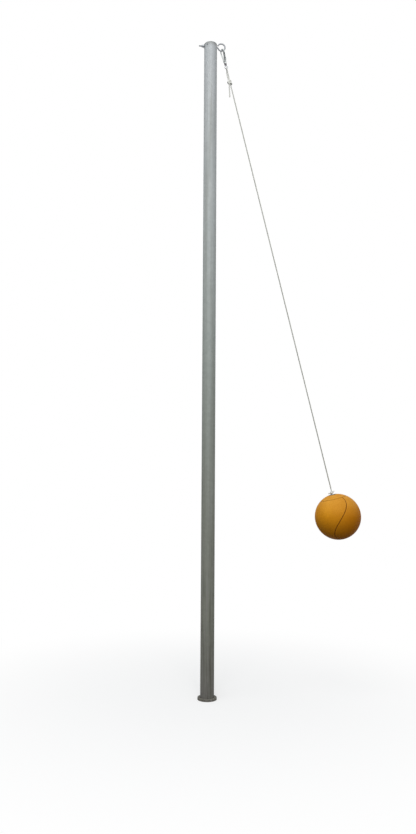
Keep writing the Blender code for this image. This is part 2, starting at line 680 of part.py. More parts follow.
def hitch_route(bend, knot, run_in, tag, turns, twist=0.0):
    """Route of a rope looped round a bar and hitched on itself, in units of the rope's diameter.

    The bar lies along local Y through the origin, and the rope leaves along +Z. The standing part comes
    in down the Z axis, passes over the bar at the loop's bend, and returns beside itself, laid round
    itself by the twist in degrees. It then rides over one or two round turns and is tucked under its own
    riding turn, so that the pull nips it.
    """
    beside = 1.10
    over = 2.20
    pitch = 1.12
    low = 1.95 - pitch * (2 - turns)
    route = [(0, 0, z) for z in (knot + run_in, knot + low + 1.5, knot + 1.0, knot - 0.6, knot - 1.6)]
    route += [(bend * 0.5, 0, (knot - 1.6 + bend * 0.5) / 2), (bend * 0.97, 0, bend * 0.5)]
    route += [(bend * cos(a), 0, -bend * sin(a)) for a in (i * pi / 6 for i in range(7))]
    route += [(-bend * 1.02, 0, bend * 0.7)]

    def wound(degrees, radius, z):
        turn = radians(degrees + twist)
        return (radius * cos(turn), radius * sin(turn), knot + z)

    back_up = knot - 2.3 - bend * 0.7
    for share in (0.25, 0.5, 0.75):
        radius = bend + (beside - bend) * share + 0.07
        route.append(wound(180 - twist * (1 - share), radius, -2.3 - back_up * (1 - share)))
    route += [wound(180, beside, -2.3), wound(184, beside * 1.02, -1.35)]
    riding = [(200, 1.45, -1.00), (214, 1.90, -0.62), (232, over, -0.10), (255, over, 0.50)]
    riding += [(278, over, 1.08), (300, over, 1.58)]
    riding = [(degrees, radius, -1 + (z + 1) * (low + 1) / 2.95) for degrees, radius, z in riding]
    diving = [(322, over * 0.97, low - 0.10), (344, 1.85, low - 0.02), (364, 1.40, low)]
    route += [wound(*p) for p in riding + diving]
    first = 385
    last = first + 20 + 360 * turns
    steps = 13 * turns - 1
    for i in range(steps + 1):
        degrees = first + (last - first) * i / steps
        route.append(wound(degrees, beside, low - pitch * (degrees - first) / 360))
    route += [wound(*p) for p in tag]
    return route


def rope_hitch(name, paint, parent, drop, turn, bend, knot, turns, twist, run_in, tag, hang, tag_length):
    """One tied end of the rope. hang is the way that its loose tag lies, in the hitch's own axes."""
    frame = Matrix.Translation((0, 0, drop)) @ turn
    spots = hitch_route(bend / ROPE_D, knot / ROPE_D, run_in, tag, turns, twist)
    route = [Vector(p) * ROPE_D for p in spots]
    way = Vector(hang).normalized()
    last = route[-1]
    for share in (0.34, 0.67, 1.0):
        route.append(last + way * tag_length * share)
    line = smooth_route(route, KNOT_STEP)
    print(name, "least gap to itself", round(least_self_gap(line, ROPE_D) * 1000, 2), "mm")
    place(tube(name, [frame @ p for p in line], ROPE_D, paint, 1), parent)
    return (frame @ line[0]).z


def tether_ropes(paint, parent):
    """The rope in three stretches: hitched to the swivel eye, the free run, and hitched to the ball."""
    bend_top = SWIVEL_EYE_WIRE / 2 + SEAT_GAP + ROPE_D / 2
    fall = TETHER_LEAN - TOP_TAG_LEAN
    down = Vector((-sin(fall), 0, cos(fall)))
    sideways = Matrix.Rotation(pi / 2, 4, "Z")
    hang = sideways.inverted() @ down
    tag = [(1140, 1.15, -0.45), (1170, 1.30, -0.62), (1195, 1.65, -0.70), (1215, 2.05, -0.50)]
    tag += [(1228, 2.20, 0.0), (1233, 2.20, 0.8), (1233, 2.22, 1.7)]
    start = rope_hitch(
        "tether_top_hitch", paint, parent, TOP_BAR_DROP, sideways, bend_top, TOP_KNOT_DROP, 2,
        TOP_KNOT_TWIST, 4.2, tag, hang, TOP_TAG_LENGTH,
    )
    flipped = Matrix.Rotation(pi, 4, "X")
    bend_ball = ANCHOR_PIN_D / 2 + SEAT_GAP + ROPE_D / 2
    stub = [(780, 1.18, -0.48), (800, 1.38, -0.60)]
    end = rope_hitch(
        "tether_ball_hitch", paint, parent, BALL_BAR_DROP, flipped, bend_ball, BALL_KNOT_DROP, 1, 0.0, 2.8,
        stub, (-1.0, 0.22, -0.02), BALL_TAG_LENGTH,
    )
    first = start + SEAT_GAP
    last = end - SEAT_GAP
    run = [(0, 0, first + (last - first) * i / (ROPE_POINTS - 1)) for i in range(ROPE_POINTS)]
    place(tube("tether_rope", run, ROPE_D, paint, 2), parent)


def sphere_arc(radius, top_radius, bottom_radius, steps):
    """Outline (r, z) of a ball about Z from a round mouth on its -Z side to one on its +Z side."""
    start = -pi / 2 + math.asin(top_radius / radius)
    end = pi / 2 - math.asin(bottom_radius / radius)
    return arc((0, 0), radius, start, end, steps)


def seam_point(polar, turn):
    """A point on the seam cutters' centreline, its angles measured from the anchor and about the tether."""
    lift = BALL_RADIUS + SEAM_WIDTH / 2 - SEAM_DEPTH
    return Vector((sin(polar) * cos(turn), sin(polar) * sin(turn), -cos(polar))) * lift


def round_seam(steps):
    """The round seam about the anchor."""
    points = [seam_point(ROUND_SEAM_ANGLE, tau * i / steps) for i in range(steps)]
    return tube_mesh("round_seam", points, SEAM_WIDTH, None, 1, closed=True)


def long_seam(steps):
    """The seam that leaves the round one, sways down one side, crosses the valve and comes up the other."""
    front = []
    back = []
    for i in range(steps + 1):
        polar = ROUND_SEAM_ANGLE + (pi - ROUND_SEAM_ANGLE) * i / steps
        share = min((polar - pi / 2) / (pi / 2 - ROUND_SEAM_ANGLE), 1.0)
        turn = LONG_SEAM_TURN + LONG_SEAM_SWAY * sin(share * pi / 2)
        front.append(seam_point(polar, turn))
        back.append(seam_point(polar, turn + pi))
    return tube_mesh("long_seam", front + back[-2::-1], SEAM_WIDTH * 0.98, None, 1)


def ball_cover(paint, parent):
    """Moulded rubber cover, open at the anchor (local -Z) and the valve (+Z), with sunk seams."""
    inner = BALL_RADIUS - COVER_THICKNESS
    mouth = ANCHOR_RIM_RADIUS + SEAT_GAP
    valve = VALVE_RADIUS + SEAT_GAP
    outside = sphere_arc(BALL_RADIUS, mouth, valve, BALL_SEGMENTS // 2)
    inside = sphere_arc(inner, mouth, valve, BALL_SEGMENTS // 4)
    cover = place(lathe("ball_cover", outside + inside[::-1], paint, BALL_SEGMENTS), parent)
    for seam in (round_seam(BALL_SEGMENTS), long_seam(34)):
        combine(cover, helper(seam, parent))


def ball_bladder(paint, parent):
    """Air bladder under the cover, dented round the anchor cup and open for the valve."""
    outer = BALL_RADIUS - COVER_THICKNESS - SEAT_GAP
    inner = outer - BLADDER_THICKNESS
    pocket = ANCHOR_RIM_RADIUS + BLADDER_MOUTH_GAP
    wall = ANCHOR_CUP_RADIUS + ANCHOR_CUP_WALL + SEAT_GAP
    floor = -BALL_RADIUS + ANCHOR_CUP_DEPTH + ANCHOR_CUP_WALL + SEAT_GAP
    brow = -sqrt(outer * outer - pocket * pocket)
    valve = VALVE_RADIUS + SEAT_GAP
    outside = sphere_arc(outer, pocket, valve, BALL_SEGMENTS // 4)
    inside = sphere_arc(inner, pocket + BLADDER_THICKNESS, valve, BALL_SEGMENTS // 4)
    profile = [
        *outside,
        *inside[::-1],
        (wall + BLADDER_THICKNESS, brow + 0.006),
        (wall + BLADDER_THICKNESS, floor + BLADDER_THICKNESS),
        (0, floor + BLADDER_THICKNESS),
        (0, floor),
        (wall, floor),
        (wall, brow + 0.004),
    ]
    place(lathe("ball_bladder", profile, paint, BALL_SEGMENTS // 2), parent)


def ball_valve(paint, parent):
    """Rubber valve plug, flush with the cover, with a blind needle channel."""
    face = sqrt(BALL_RADIUS**2 - VALVE_RADIUS**2)
    neck = BALL_RADIUS - COVER_THICKNESS - SEAT_GAP - BLADDER_THICKNESS - 4 * SEAT_GAP
    foot = face - VALVE_LENGTH
    needle = VALVE_NEEDLE_D / 2
    profile = [
        (0, foot),
        (VALVE_BULB_RADIUS * 0.7, foot),
        (VALVE_BULB_RADIUS, foot + 0.002),
        (VALVE_BULB_RADIUS, neck - 0.002),
        (VALVE_RADIUS, neck),
        (VALVE_RADIUS, face - 0.0006),
        (VALVE_RADIUS - 0.0006, face),
        (needle * 2.2, face),
        (needle, face - 0.0012),
        (needle, face - VALVE_LENGTH * 0.6),
        (0, face - VALVE_LENGTH * 0.6),
    ]
    place(lathe("ball_valve", profile, paint, 20), parent)


def anchor_cup(paint, parent):
    """Moulded cup in the ball's top, flared at its mouth, that carries the anchor pin."""
    rim = -sqrt(BALL_RADIUS**2 - ANCHOR_RIM_RADIUS**2)
    lip = 0.0012
    outer = ANCHOR_CUP_RADIUS + ANCHOR_CUP_WALL
    shoulder = rim + COVER_THICKNESS + 0.0010
    floor = -BALL_RADIUS + ANCHOR_CUP_DEPTH
    pin = -BALL_RADIUS + ANCHOR_PIN_DEPTH
    profile = [
        (ANCHOR_RIM_RADIUS - lip, rim - lip * 0.4),
        (ANCHOR_RIM_RADIUS, rim),
        (ANCHOR_RIM_RADIUS, shoulder - 0.0006),
        (outer, shoulder + 0.0016),
        (outer, floor + ANCHOR_CUP_WALL),
        (0, floor + ANCHOR_CUP_WALL),
        (0, floor),
        (ANCHOR_CUP_RADIUS * 0.86, floor),
        (ANCHOR_CUP_RADIUS, floor - 0.0015),
        (ANCHOR_CUP_RADIUS, pin),
        (ANCHOR_MOUTH_RADIUS - 0.0008, rim - lip * 0.2),
        (ANCHOR_MOUTH_RADIUS + 0.0006, rim - lip),
    ]
    cup = place(lathe("anchor_cup", profile, paint, 32), parent)
    hole = rod("anchor_pin_hole", ANCHOR_PIN_D / 2 + SEAT_GAP, outer * 3, segments=20)
    helper(hole, parent, (0, 0, pin), (pi / 2, 0, 0))
    combine(cup, hole)


def anchor_pin(paint, parent):
    length = 2 * (ANCHOR_CUP_RADIUS + ANCHOR_CUP_WALL) * 0.97
    pin = rod("anchor_pin", ANCHOR_PIN_D / 2, length, paint, 20)
    place(pin, parent, (0, 0, -BALL_RADIUS + ANCHOR_PIN_DEPTH), (pi / 2, 0, 0))


def tether_axis(name, drop, parent=None):
    """An empty on the tether line, its local Z down the line and its local X in the plane of the swing."""
    axis = bpy.data.objects.new(name, None)
    bpy.context.scene.collection.objects.link(axis)
    if parent:
        return place(axis, parent, (0, 0, drop))
    down = Vector((sin(TETHER_LEAN), 0, -cos(TETHER_LEAN)))
    across = Vector((cos(TETHER_LEAN), 0, sin(TETHER_LEAN)))
    turn = Matrix((across, down.cross(across), down)).transposed().to_4x4()
    axis.matrix_world = Matrix.Translation(EYE_CENTRE + down * drop) @ turn
    return axis


def build():
    clear_scene()
    zinc = material("galvanised_steel", (0.50, 0.52, 0.50), 0.55, 0.6)
    plated = material("zinc_plated_steel", (0.45, 0.46, 0.47), 0.35, 0.9)
    cast = material("plated_casting", (0.52, 0.53, 0.54), 0.32, 0.9)
    spring_steel = material("spring_steel", (0.35, 0.36, 0.38), 0.30, 1.0)
    rope = material("off_white_rope", (0.74, 0.74, 0.68), 0.85)
    rubber = material("orange_rubber", (0.72, 0.38, 0.06), 0.60)
    dark_rubber = material("black_rubber", (0.05, 0.05, 0.05), 0.70)

    sleeve_tube(zinc)
    sleeve_collar(zinc)
    sleeve_base_plate(zinc)
    sleeve_cross_pin(plated)

    pole = bpy.data.objects.new("pole_axis", None)
    bpy.context.scene.collection.objects.link(pole)
    bolt_hole = eye_bolt_hole(pole)
    spot, turn = cap_screw_place()
    screw_hole = rod("cap_screw_hole", CAP_SCREW_SHANK_D / 2 + SEAT_GAP, CAP_SCREW_LENGTH * 1.6, None, 16)
    helper(screw_hole, pole, spot, turn)
    pole_tube(zinc, pole, bolt_hole, screw_hole)
    pole_cap(zinc, pole, bolt_hole, screw_hole)
    cap_screw(plated, pole)
    eye_bolt(plated, pole)
    eye_bolt_fixings(plated, pole)

    snap = tether_axis("snap_swing_axis", 0.0)
    snap.rotation_euler.rotate_axis("Z", SNAP_TURN)
    snap_hook_body(cast, snap)
    gate_axis = tether_axis("gate_pivot_axis", GATE_PIVOT_DROP, snap)
    gate_axis.location.x = GATE_PIVOT_X
    snap_gate(cast, gate_axis)
    gate_rivet(plated, gate_axis)
    gate_spring(spring_steel, snap)

    line = tether_axis("tether_line", 0.0)
    swivel_eye(cast, line)
    tether_ropes(rope, line)

    ball = tether_axis("ball_centre", BALL_CENTRE_DROP)
    ball_cover(rubber, ball)
    ball_bladder(dark_rubber, ball)
    ball_valve(dark_rubber, ball)
    anchor_cup(rubber, ball)
    anchor_pin(plated, ball)


build()
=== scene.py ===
from math import asin, cos, floor, pi, radians, sin, sqrt, tau

import bpy
import numpy as np
from mathutils import Matrix, Vector
from mathutils.kdtree import KDTree


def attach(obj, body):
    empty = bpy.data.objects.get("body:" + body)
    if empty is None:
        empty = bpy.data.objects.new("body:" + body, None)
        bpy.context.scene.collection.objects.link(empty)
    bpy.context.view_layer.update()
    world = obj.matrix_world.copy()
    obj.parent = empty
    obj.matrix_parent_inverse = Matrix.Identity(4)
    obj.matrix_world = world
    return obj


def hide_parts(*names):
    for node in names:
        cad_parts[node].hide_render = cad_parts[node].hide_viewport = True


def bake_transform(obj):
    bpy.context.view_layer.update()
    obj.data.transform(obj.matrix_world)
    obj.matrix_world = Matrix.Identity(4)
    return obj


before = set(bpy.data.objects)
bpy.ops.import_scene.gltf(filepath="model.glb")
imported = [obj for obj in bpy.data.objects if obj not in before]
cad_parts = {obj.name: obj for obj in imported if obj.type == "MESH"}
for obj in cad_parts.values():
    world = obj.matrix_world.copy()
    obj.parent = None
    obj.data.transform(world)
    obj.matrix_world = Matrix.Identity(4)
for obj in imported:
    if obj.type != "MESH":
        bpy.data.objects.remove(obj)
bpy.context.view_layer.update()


# Camera. It stands three metres in front of the pole, a little to its left and at waist height, and looks
# slightly up, so that the whole pole stands in a tall narrow picture.
CAMERA_AT = (-0.4396, -3.1090, 0.9374)
CAMERA_YAW = radians(8.0)
CAMERA_PITCH = radians(5.332)
CAMERA_ROLL = radians(0.318)
CAMERA_SENSOR_MM = 36.0
CAMERA_LENS_MM = 30.216
level_reach = cos(CAMERA_PITCH)
ahead = Vector((sin(CAMERA_YAW) * level_reach, cos(CAMERA_YAW) * level_reach, sin(CAMERA_PITCH)))
level_right = Vector((cos(CAMERA_YAW), -sin(CAMERA_YAW), 0.0))
level_up = level_right.cross(ahead)
camera_right = level_right * cos(CAMERA_ROLL) + level_up * sin(CAMERA_ROLL)
camera_up = level_up * cos(CAMERA_ROLL) - level_right * sin(CAMERA_ROLL)
lens = bpy.data.cameras.new("photo_camera")
lens.sensor_fit = "AUTO"
lens.sensor_width = CAMERA_SENSOR_MM
lens.lens = CAMERA_LENS_MM
camera = bpy.data.objects.new("photo_camera", lens)
bpy.context.scene.collection.objects.link(camera)
camera.matrix_world = Matrix.Translation(CAMERA_AT) @ Matrix(
    (camera_right, camera_up, -ahead)
).transposed().to_4x4()
bpy.context.scene.camera = camera


# Tether rope. One length of 5 mm braided nylon cord, hitched to the swivel's eye at its top and to the pin
# in the ball at its foot. Both ends are cut with heat, which leaves them hard and slightly brown.
ROPE_D = 0.0050
EYE_CENTRE = Vector((0.0515, 0.0, 2.994))
TETHER_LEAN = radians(13.9)
TOP_BAR_DROP = 0.10628
TOP_BAR_D = 0.0036
TOP_KNOT_DROP = 0.0671
BALL_BAR_DROP = 2.1840
BALL_BAR_D = 0.0050
BALL_KNOT_DROP = 0.0215
CLEARANCE = 0.0003
BRAID_STRANDS = 8
BRAID_STEP = 0.0030
MELTED_END = 0.0022
BRAID_RISE = 0.004
ROUTE_STEP = 0.0010
down_the_line = Vector((sin(TETHER_LEAN), 0.0, -cos(TETHER_LEAN)))
out_from_pole = Vector((cos(TETHER_LEAN), 0.0, sin(TETHER_LEAN)))
tether_frame = Matrix.Translation(EYE_CENTRE) @ Matrix(
    (out_from_pole, (0.0, -1.0, 0.0), down_the_line)
).transposed().to_4x4()


def hitch_route(bend, knot, turns, twist, run_in, tag):
    """Round a bar along local Y, back beside itself, over its round turns and tucked under its own pull.

    Everything here is in rope diameters, from the bar's centre with local Z down the rope, and the places
    on a turn are (degrees, radius, height from the knot's middle).
    """
    beside, over, pitch = 1.10, 2.20, 1.12
    low = 1.95 - pitch * (2 - turns)
    route = [(0, 0, z) for z in (knot + run_in, knot + low + 1.5, knot + 1.0, knot - 0.6, knot - 1.6)]
    route += [(bend * 0.5, 0, (knot - 1.6 + bend * 0.5) / 2), (bend * 0.97, 0, bend * 0.5)]
    route += [(bend * cos(a), 0, -bend * sin(a)) for a in (i * pi / 6 for i in range(7))]
    route += [(-bend * 1.02, 0, bend * 0.7)]

    def wound(degrees, radius, z):
        turn = radians(degrees + twist)
        return (radius * cos(turn), radius * sin(turn), knot + z)

    back_up = knot - 2.3 - bend * 0.7
    for share in (0.25, 0.5, 0.75):
        radius = bend + (beside - bend) * share + 0.07
        route.append(wound(180 - twist * (1 - share), radius, -2.3 - back_up * (1 - share)))
    route += [wound(180, beside, -2.3), wound(184, beside * 1.02, -1.35)]
    riding = [(200, 1.45, -1.00), (214, 1.90, -0.62), (232, over, -0.10), (255, over, 0.50)]
    riding += [(278, over, 1.08), (300, over, 1.58)]
    riding = [(degrees, radius, -1 + (z + 1) * (low + 1) / 2.95) for degrees, radius, z in riding]
    diving = [(322, over * 0.97, low - 0.10), (344, 1.85, low - 0.02), (364, 1.40, low)]
    route += [wound(*p) for p in riding + diving]
    first, last, steps = 385, 405 + 360 * turns, 13 * turns - 1
    for i in range(steps + 1):
        degrees = first + (last - first) * i / steps
        route.append(wound(degrees, beside, low - pitch * (degrees - first) / 360))
    return route + [wound(*p) for p in tag]


def even_points(line, step):
    """A dense line read again at equal steps."""
    line = np.array(line, float)
    reach = np.concatenate([[0], np.cumsum(np.linalg.norm(np.diff(line, axis=0), axis=1))])
    at = np.linspace(0, reach[-1], max(2, round(reach[-1] / step)) + 1)
    return [Vector([float(np.interp(x, reach, line[:, k])) for k in range(3)]) for x in at]


def smooth_route(route, step):
    """A smooth curve through the route's points."""
    route = [Vector(p) for p in route]
    spans = [(b - a).length for a, b in zip(route, route[1:])]
    slopes = [(b - a) / h for a, b, h in zip(route, route[1:], spans)]
    tangents = [slopes[0]]
    for before, after, h0, h1 in zip(slopes, slopes[1:], spans, spans[1:]):
        tangents.append((before * h1 + after * h0) / (h0 + h1))
    tangents.append(slopes[-1])
    fine = []
    for a, b, m0, m1, h in zip(route, route[1:], tangents, tangents[1:], spans):
        for i in range(12):
            t = i / 12
            ease = t * t * (3 - 2 * t)
            fine.append(a + (b - a) * ease + (m0 * t * (1 - t) ** 2 - m1 * t * t * (1 - t)) * h)
    return even_points(fine + [route[-1]], step)


def hitch_line(drop, turn, bar_d, knot, turns, twist, run_in, tag, hang, tag_length):
    """One hitch of the rope in the row frame, from its straight part to the tip of its tag."""
    bend = (bar_d / 2 + CLEARANCE + ROPE_D / 2) / ROPE_D
    route = [Vector(p) * ROPE_D for p in hitch_route(bend, knot / ROPE_D, turns, twist, run_in, tag)]
    way, last = Vector(hang).normalized(), route[-1]
    route += [last + way * tag_length * share for share in (0.34, 0.67, 1.0)]
    place = tether_frame @ Matrix.Translation((0, 0, drop)) @ turn
    return [place @ p for p in smooth_route(route, ROPE_D / 6)]


def swept(name, line, sides, surface):
    """A bar along a line. surface(turn, along) is its radius, at a share of a round and metres along."""
    line = np.array(line, float)
    ahead_of = np.vstack([line[1:], 2 * line[-1] - line[-2]])
    behind = np.vstack([2 * line[0] - line[1], line[:-1]])
    along = ahead_of - behind
    along /= np.linalg.norm(along, axis=1)[:, None]
    side = np.cross(along[0], (0, 1, 0) if abs(along[0][1]) < 0.9 else (1, 0, 0))
    sides_at = []
    for tangent in along:
        side = side - tangent * (side @ tangent)
        side /= np.linalg.norm(side)
        sides_at.append(side)
    sides_at = np.array(sides_at)
    other = np.cross(along, sides_at)
    reach = np.concatenate([[0], np.cumsum(np.linalg.norm(np.diff(line, axis=0), axis=1))])
    turns = np.arange(sides) / sides
    radius = np.array([[surface(t, s) for t in turns] for s in reach])
    ring = sides_at[:, None] * np.cos(tau * turns)[None, :, None]
    ring = ring + other[:, None] * np.sin(tau * turns)[None, :, None]
    points = (line[:, None] + ring * radius[:, :, None]).reshape(-1, 3)
    rows = len(line)
    faces, corners = [], []
    for i in range(rows - 1):
        low, high = i * sides, (i + 1) * sides
        s0, s1 = reach[i], reach[i + 1]
        for j in range(sides):
            k = (j + 1) % sides
            faces.append((low + j, low + k, high + k, high + j))
            corners += [(j / sides, s0), ((j + 1) / sides, s0), ((j + 1) / sides, s1), (j / sides, s1)]
    faces += [tuple(range(sides))[::-1], tuple(range((rows - 1) * sides, rows * sides))]
    corners += [(0.0, 0.0)] * sides + [(0.0, float(reach[-1]))] * sides
    mesh = bpy.data.meshes.new(name)
    mesh.from_pydata([tuple(p) for p in points], [], faces)
    mesh.uv_layers.new(name="along").data.foreach_set("uv", np.array(corners, np.float32).ravel())
    mesh.shade_smooth()
    bar = bpy.data.objects.new(name, mesh)
    bpy.context.scene.collection.objects.link(bar)
    return bar


def braid(turn, along):
    """How high the braid's upper strand stands here, 0 in the gaps to 1 on a crown."""
    a = turn * BRAID_STRANDS + along / BRAID_STEP
    b = turn * BRAID_STRANDS - along / BRAID_STEP
    across = a if (floor(a) + floor(b)) % 2 else b
    across -= floor(across)
    return sqrt(max(0.0, 1 - (2 * across - 1) ** 2))


tag_side = Matrix.Rotation(pi / 2, 4, "Z")
tag_fall = radians(10.4)
top_tag = [(1140, 1.15, -0.45), (1170, 1.30, -0.62), (1195, 1.65, -0.70), (1215, 2.05, -0.50)]
top_tag += [(1228, 2.20, 0.0), (1233, 2.20, 0.8), (1233, 2.22, 1.7)]
top_hitch = hitch_line(
    TOP_BAR_DROP, tag_side, TOP_BAR_D, TOP_KNOT_DROP, turns=2, twist=-108.0, run_in=4.2, tag=top_tag,
    hang=tag_side.inverted() @ Vector((-sin(tag_fall), 0, cos(tag_fall))), tag_length=0.0710,
)
ball_tag = [(780, 1.18, -0.48), (800, 1.38, -0.60)]
ball_hitch = hitch_line(
    BALL_BAR_DROP, Matrix.Rotation(pi, 4, "X"), BALL_BAR_D, BALL_KNOT_DROP, turns=1, twist=0.0, run_in=2.8,
    tag=ball_tag, hang=(-1.0, 0.22, -0.02), tag_length=0.0160,
)
rope_line = even_points(top_hitch[::-1] + ball_hitch, ROUTE_STEP)
rope_length = sum((b - a).length for a, b in zip(rope_line, rope_line[1:]))


def rope_surface(turn, along):
    """The rope's radius: the braid's relief, dying away towards ends that are melted round."""
    end = min(along, rope_length - along)
    rounded = sqrt(max(0.0, 1 - max(0.0, 1 - end / MELTED_END) ** 2))
    soft = min(1.0, end / BRAID_RISE)
    return ROPE_D / 2 * (0.30 + 0.70 * rounded) * (0.945 + 0.085 * braid(turn, along) * soft)


def node_maker(tree):
    """A maker of this tree's nodes and a setter of sockets. Both take numbers or other nodes' outputs."""
    def connect(value, socket):
        if isinstance(value, bpy.types.NodeSocket):
            tree.links.new(value, socket)
        else:
            socket.default_value = value

    def node(kind, inputs=None, **settings):
        made = tree.nodes.new("ShaderNode" + kind)
        for key, value in settings.items():
            setattr(made, key, value)
        for socket, value in (inputs or {}).items():
            connect(value, made.inputs[socket])
        return made

    return node, connect


def new_finish(name, roughness, metallic=0.0):
    """A material with its shader, its maker of nodes and its setter of sockets."""
    paint = bpy.data.materials.new(name)
    paint.use_nodes = True
    shader = paint.node_tree.nodes["Principled BSDF"]
    shader.inputs["Roughness"].default_value = roughness
    shader.inputs["Metallic"].default_value = metallic
    node, connect = node_maker(paint.node_tree)
    return paint, shader, node, connect


def math_node(node, operation, *values):
    """The result of one sum, product or other operation."""
    return node("Math", dict(enumerate(values)), operation=operation).outputs[0]


def blend_colours(node, share, first, second, kind="MIX"):
    """First colour where share is 0, second where it is 1."""
    sockets = {0: share, 6: first, 7: second}
    return node("Mix", sockets, data_type="RGBA", blend_type=kind).outputs[2]


def remap(node, value, low, high, to_low=0.0, to_high=1.0):
    """A straight ramp from low to high, held level past both. Low may be the larger."""
    sockets = {"Value": value, "From Min": low, "From Max": high, "To Min": to_low, "To Max": to_high}
    return node("MapRange", sockets).outputs[0]


def between(node, value, start, full, fading, end):
    """1 from full to fading, falling to 0 at start and at end."""
    return math_node(node, "MULTIPLY", remap(node, value, start, full), remap(node, value, end, fading))


def reach_along(node, place, start, way):
    """How far a place lies from the start, measured along one way."""
    offset = node("VectorMath", {0: place, 1: start}, operation="SUBTRACT").outputs[0]
    return node("VectorMath", {0: offset, 1: way}, operation="DOT_PRODUCT").outputs["Value"]


def noise(node, place, scale, detail, **more):
    """Cloudy noise. The scale is how many clouds go to a metre."""
    return node("TexNoise", {"Vector": place, "Scale": scale, "Detail": detail, **more}).outputs[0]


def add_bump(node, connect, shader, height, strength, distance):
    """Fine relief that only the shading shows. The distance is its depth in metres."""
    bump = node("Bump", {"Height": height, "Strength": strength, "Distance": distance})
    connect(bump.outputs[0], shader.inputs["Normal"])


TOP_KNOT_SPAN = (0.1635, 0.1660, 0.183, 0.186)
HANGING_SPAN = (0.186, 0.260, 2.140, 2.150)
BALL_KNOT_START = (2.149, 2.153)


def rope_finish():
    """Off-white braid, weathered down its hanging length, with painted shade in the braid's gaps and
    painted light that makes the knots paler.
    """
    paint, shader, node, connect = new_finish("braided_nylon", 0.78)
    uv = node("SeparateXYZ", {0: node("UVMap", uv_map="along").outputs[0]})
    round_it = math_node(node, "MULTIPLY", uv.outputs[0], BRAID_STRANDS)
    along_it = math_node(node, "DIVIDE", uv.outputs[1], BRAID_STEP)
    a = math_node(node, "ADD", round_it, along_it)
    b = math_node(node, "SUBTRACT", round_it, along_it)
    both = math_node(node, "ADD", math_node(node, "FLOOR", a), math_node(node, "FLOOR", b))
    upper = math_node(node, "FLOORED_MODULO", both, 2.0)
    across_a = math_node(node, "MULTIPLY", math_node(node, "FRACT", a), upper)
    flipped = math_node(node, "SUBTRACT", 1.0, upper)
    across_b = math_node(node, "MULTIPLY", math_node(node, "FRACT", b), flipped)
    across = math_node(node, "ADD", across_a, across_b)
    centred = math_node(node, "ABSOLUTE", math_node(node, "SUBTRACT", across, 0.5))
    crown = remap(node, centred, 0.5, 0.18)
    four_yarns = math_node(node, "SINE", math_node(node, "MULTIPLY", across, 12.5))
    yarns = math_node(node, "ABSOLUTE", four_yarns)
    place = node("TexCoord").outputs["Object"]
    grime = noise(node, place, 34.0, 4.0)
    fluff = noise(node, place, 2400.0, 2.0)
    drop = reach_along(node, place, EYE_CENTRE, down_the_line)
    top_knot = between(node, drop, *TOP_KNOT_SPAN)
    # Painted light: the knots are painted paler to lift the shade in their turns, the ball's knot less so.
    knot_light = math_node(node, "MAXIMUM", top_knot, remap(node, drop, *BALL_KNOT_START, 0.0, 0.45))
    dirty = remap(node, grime, 0.40, 0.66)
    clean = blend_colours(node, dirty, (0.69, 0.69, 0.66, 1), (0.57, 0.57, 0.53, 1))
    clean = blend_colours(node, knot_light, clean, (0.95, 0.95, 0.91, 1))
    # Painted shade: the gaps between the braid's strands are darker than its crowns, and less dark in the
    # knots.
    gaps = blend_colours(node, knot_light, (0.38, 0.38, 0.35, 1), (0.66, 0.66, 0.61, 1))
    shaded = blend_colours(node, crown, gaps, clean)
    hung_out = between(node, drop, *HANGING_SPAN)
    weathered = math_node(node, "MULTIPLY", hung_out, remap(node, drop, 0.26, 2.0, 0.38, 0.52))
    shaded = blend_colours(node, weathered, shaded, (0.50, 0.51, 0.44, 1), "MULTIPLY")
    left_over = math_node(node, "SUBTRACT", rope_length, uv.outputs[1])
    end = math_node(node, "MINIMUM", uv.outputs[1], left_over)
    sealed = blend_colours(node, remap(node, end, 0.0035, 0.0018), shaded, (0.60, 0.57, 0.50, 1))
    connect(sealed, shader.inputs["Base Color"])
    height = math_node(node, "ADD", crown, math_node(node, "MULTIPLY", yarns, 0.25))
    height = math_node(node, "ADD", height, math_node(node, "MULTIPLY", fluff, 0.35))
    add_bump(node, connect, shader, height, 0.6, 0.0003)
    shader.inputs["Sheen Weight"].default_value = 0.25
    shader.inputs["Sheen Roughness"].default_value = 0.5
    return paint


def settle(piece, paint, body, slot, *nodes):
    """Gives a finished piece its finish and its body, and hides the solids that it stands for. Its slot is
    not used.
    """
    piece.data.materials.clear()
    piece.data.materials.append(paint)
    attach(piece, body)
    if nodes:
        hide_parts(*nodes)
    return piece


rope = swept("tether_cord", rope_line, 32, rope_surface)
settle(rope, rope_finish(), "tether", "rope", "tether_rope", "tether_top_hitch", "tether_ball_hitch")


# Ground sleeve. A heavy steel tube cast in the ground, with a collar round its mouth, a plate welded over
# its foot and a bar across it that keeps the pole from turning. All of it is hot-dip galvanised.
SLEEVE_BORE = 0.03135
SLEEVE_R = 0.0365
SLEEVE_FOOT = -0.600
COLLAR_BORE = 0.0368
COLLAR_R = 0.0420
COLLAR_FOOT = -0.020
COLLAR_ROUND = 0.0020
MOUTH_Z = 0.010


def deselect():
    """Leaves edit mode and clears the selection."""
    if bpy.context.object and bpy.context.object.mode != "OBJECT":
        bpy.ops.object.mode_set(mode="OBJECT")
    bpy.ops.object.select_all(action="DESELECT")


def pick(piece):
    """Selects one piece alone and makes it the active one."""
    deselect()
    piece.select_set(True)
    bpy.context.view_layer.objects.active = piece


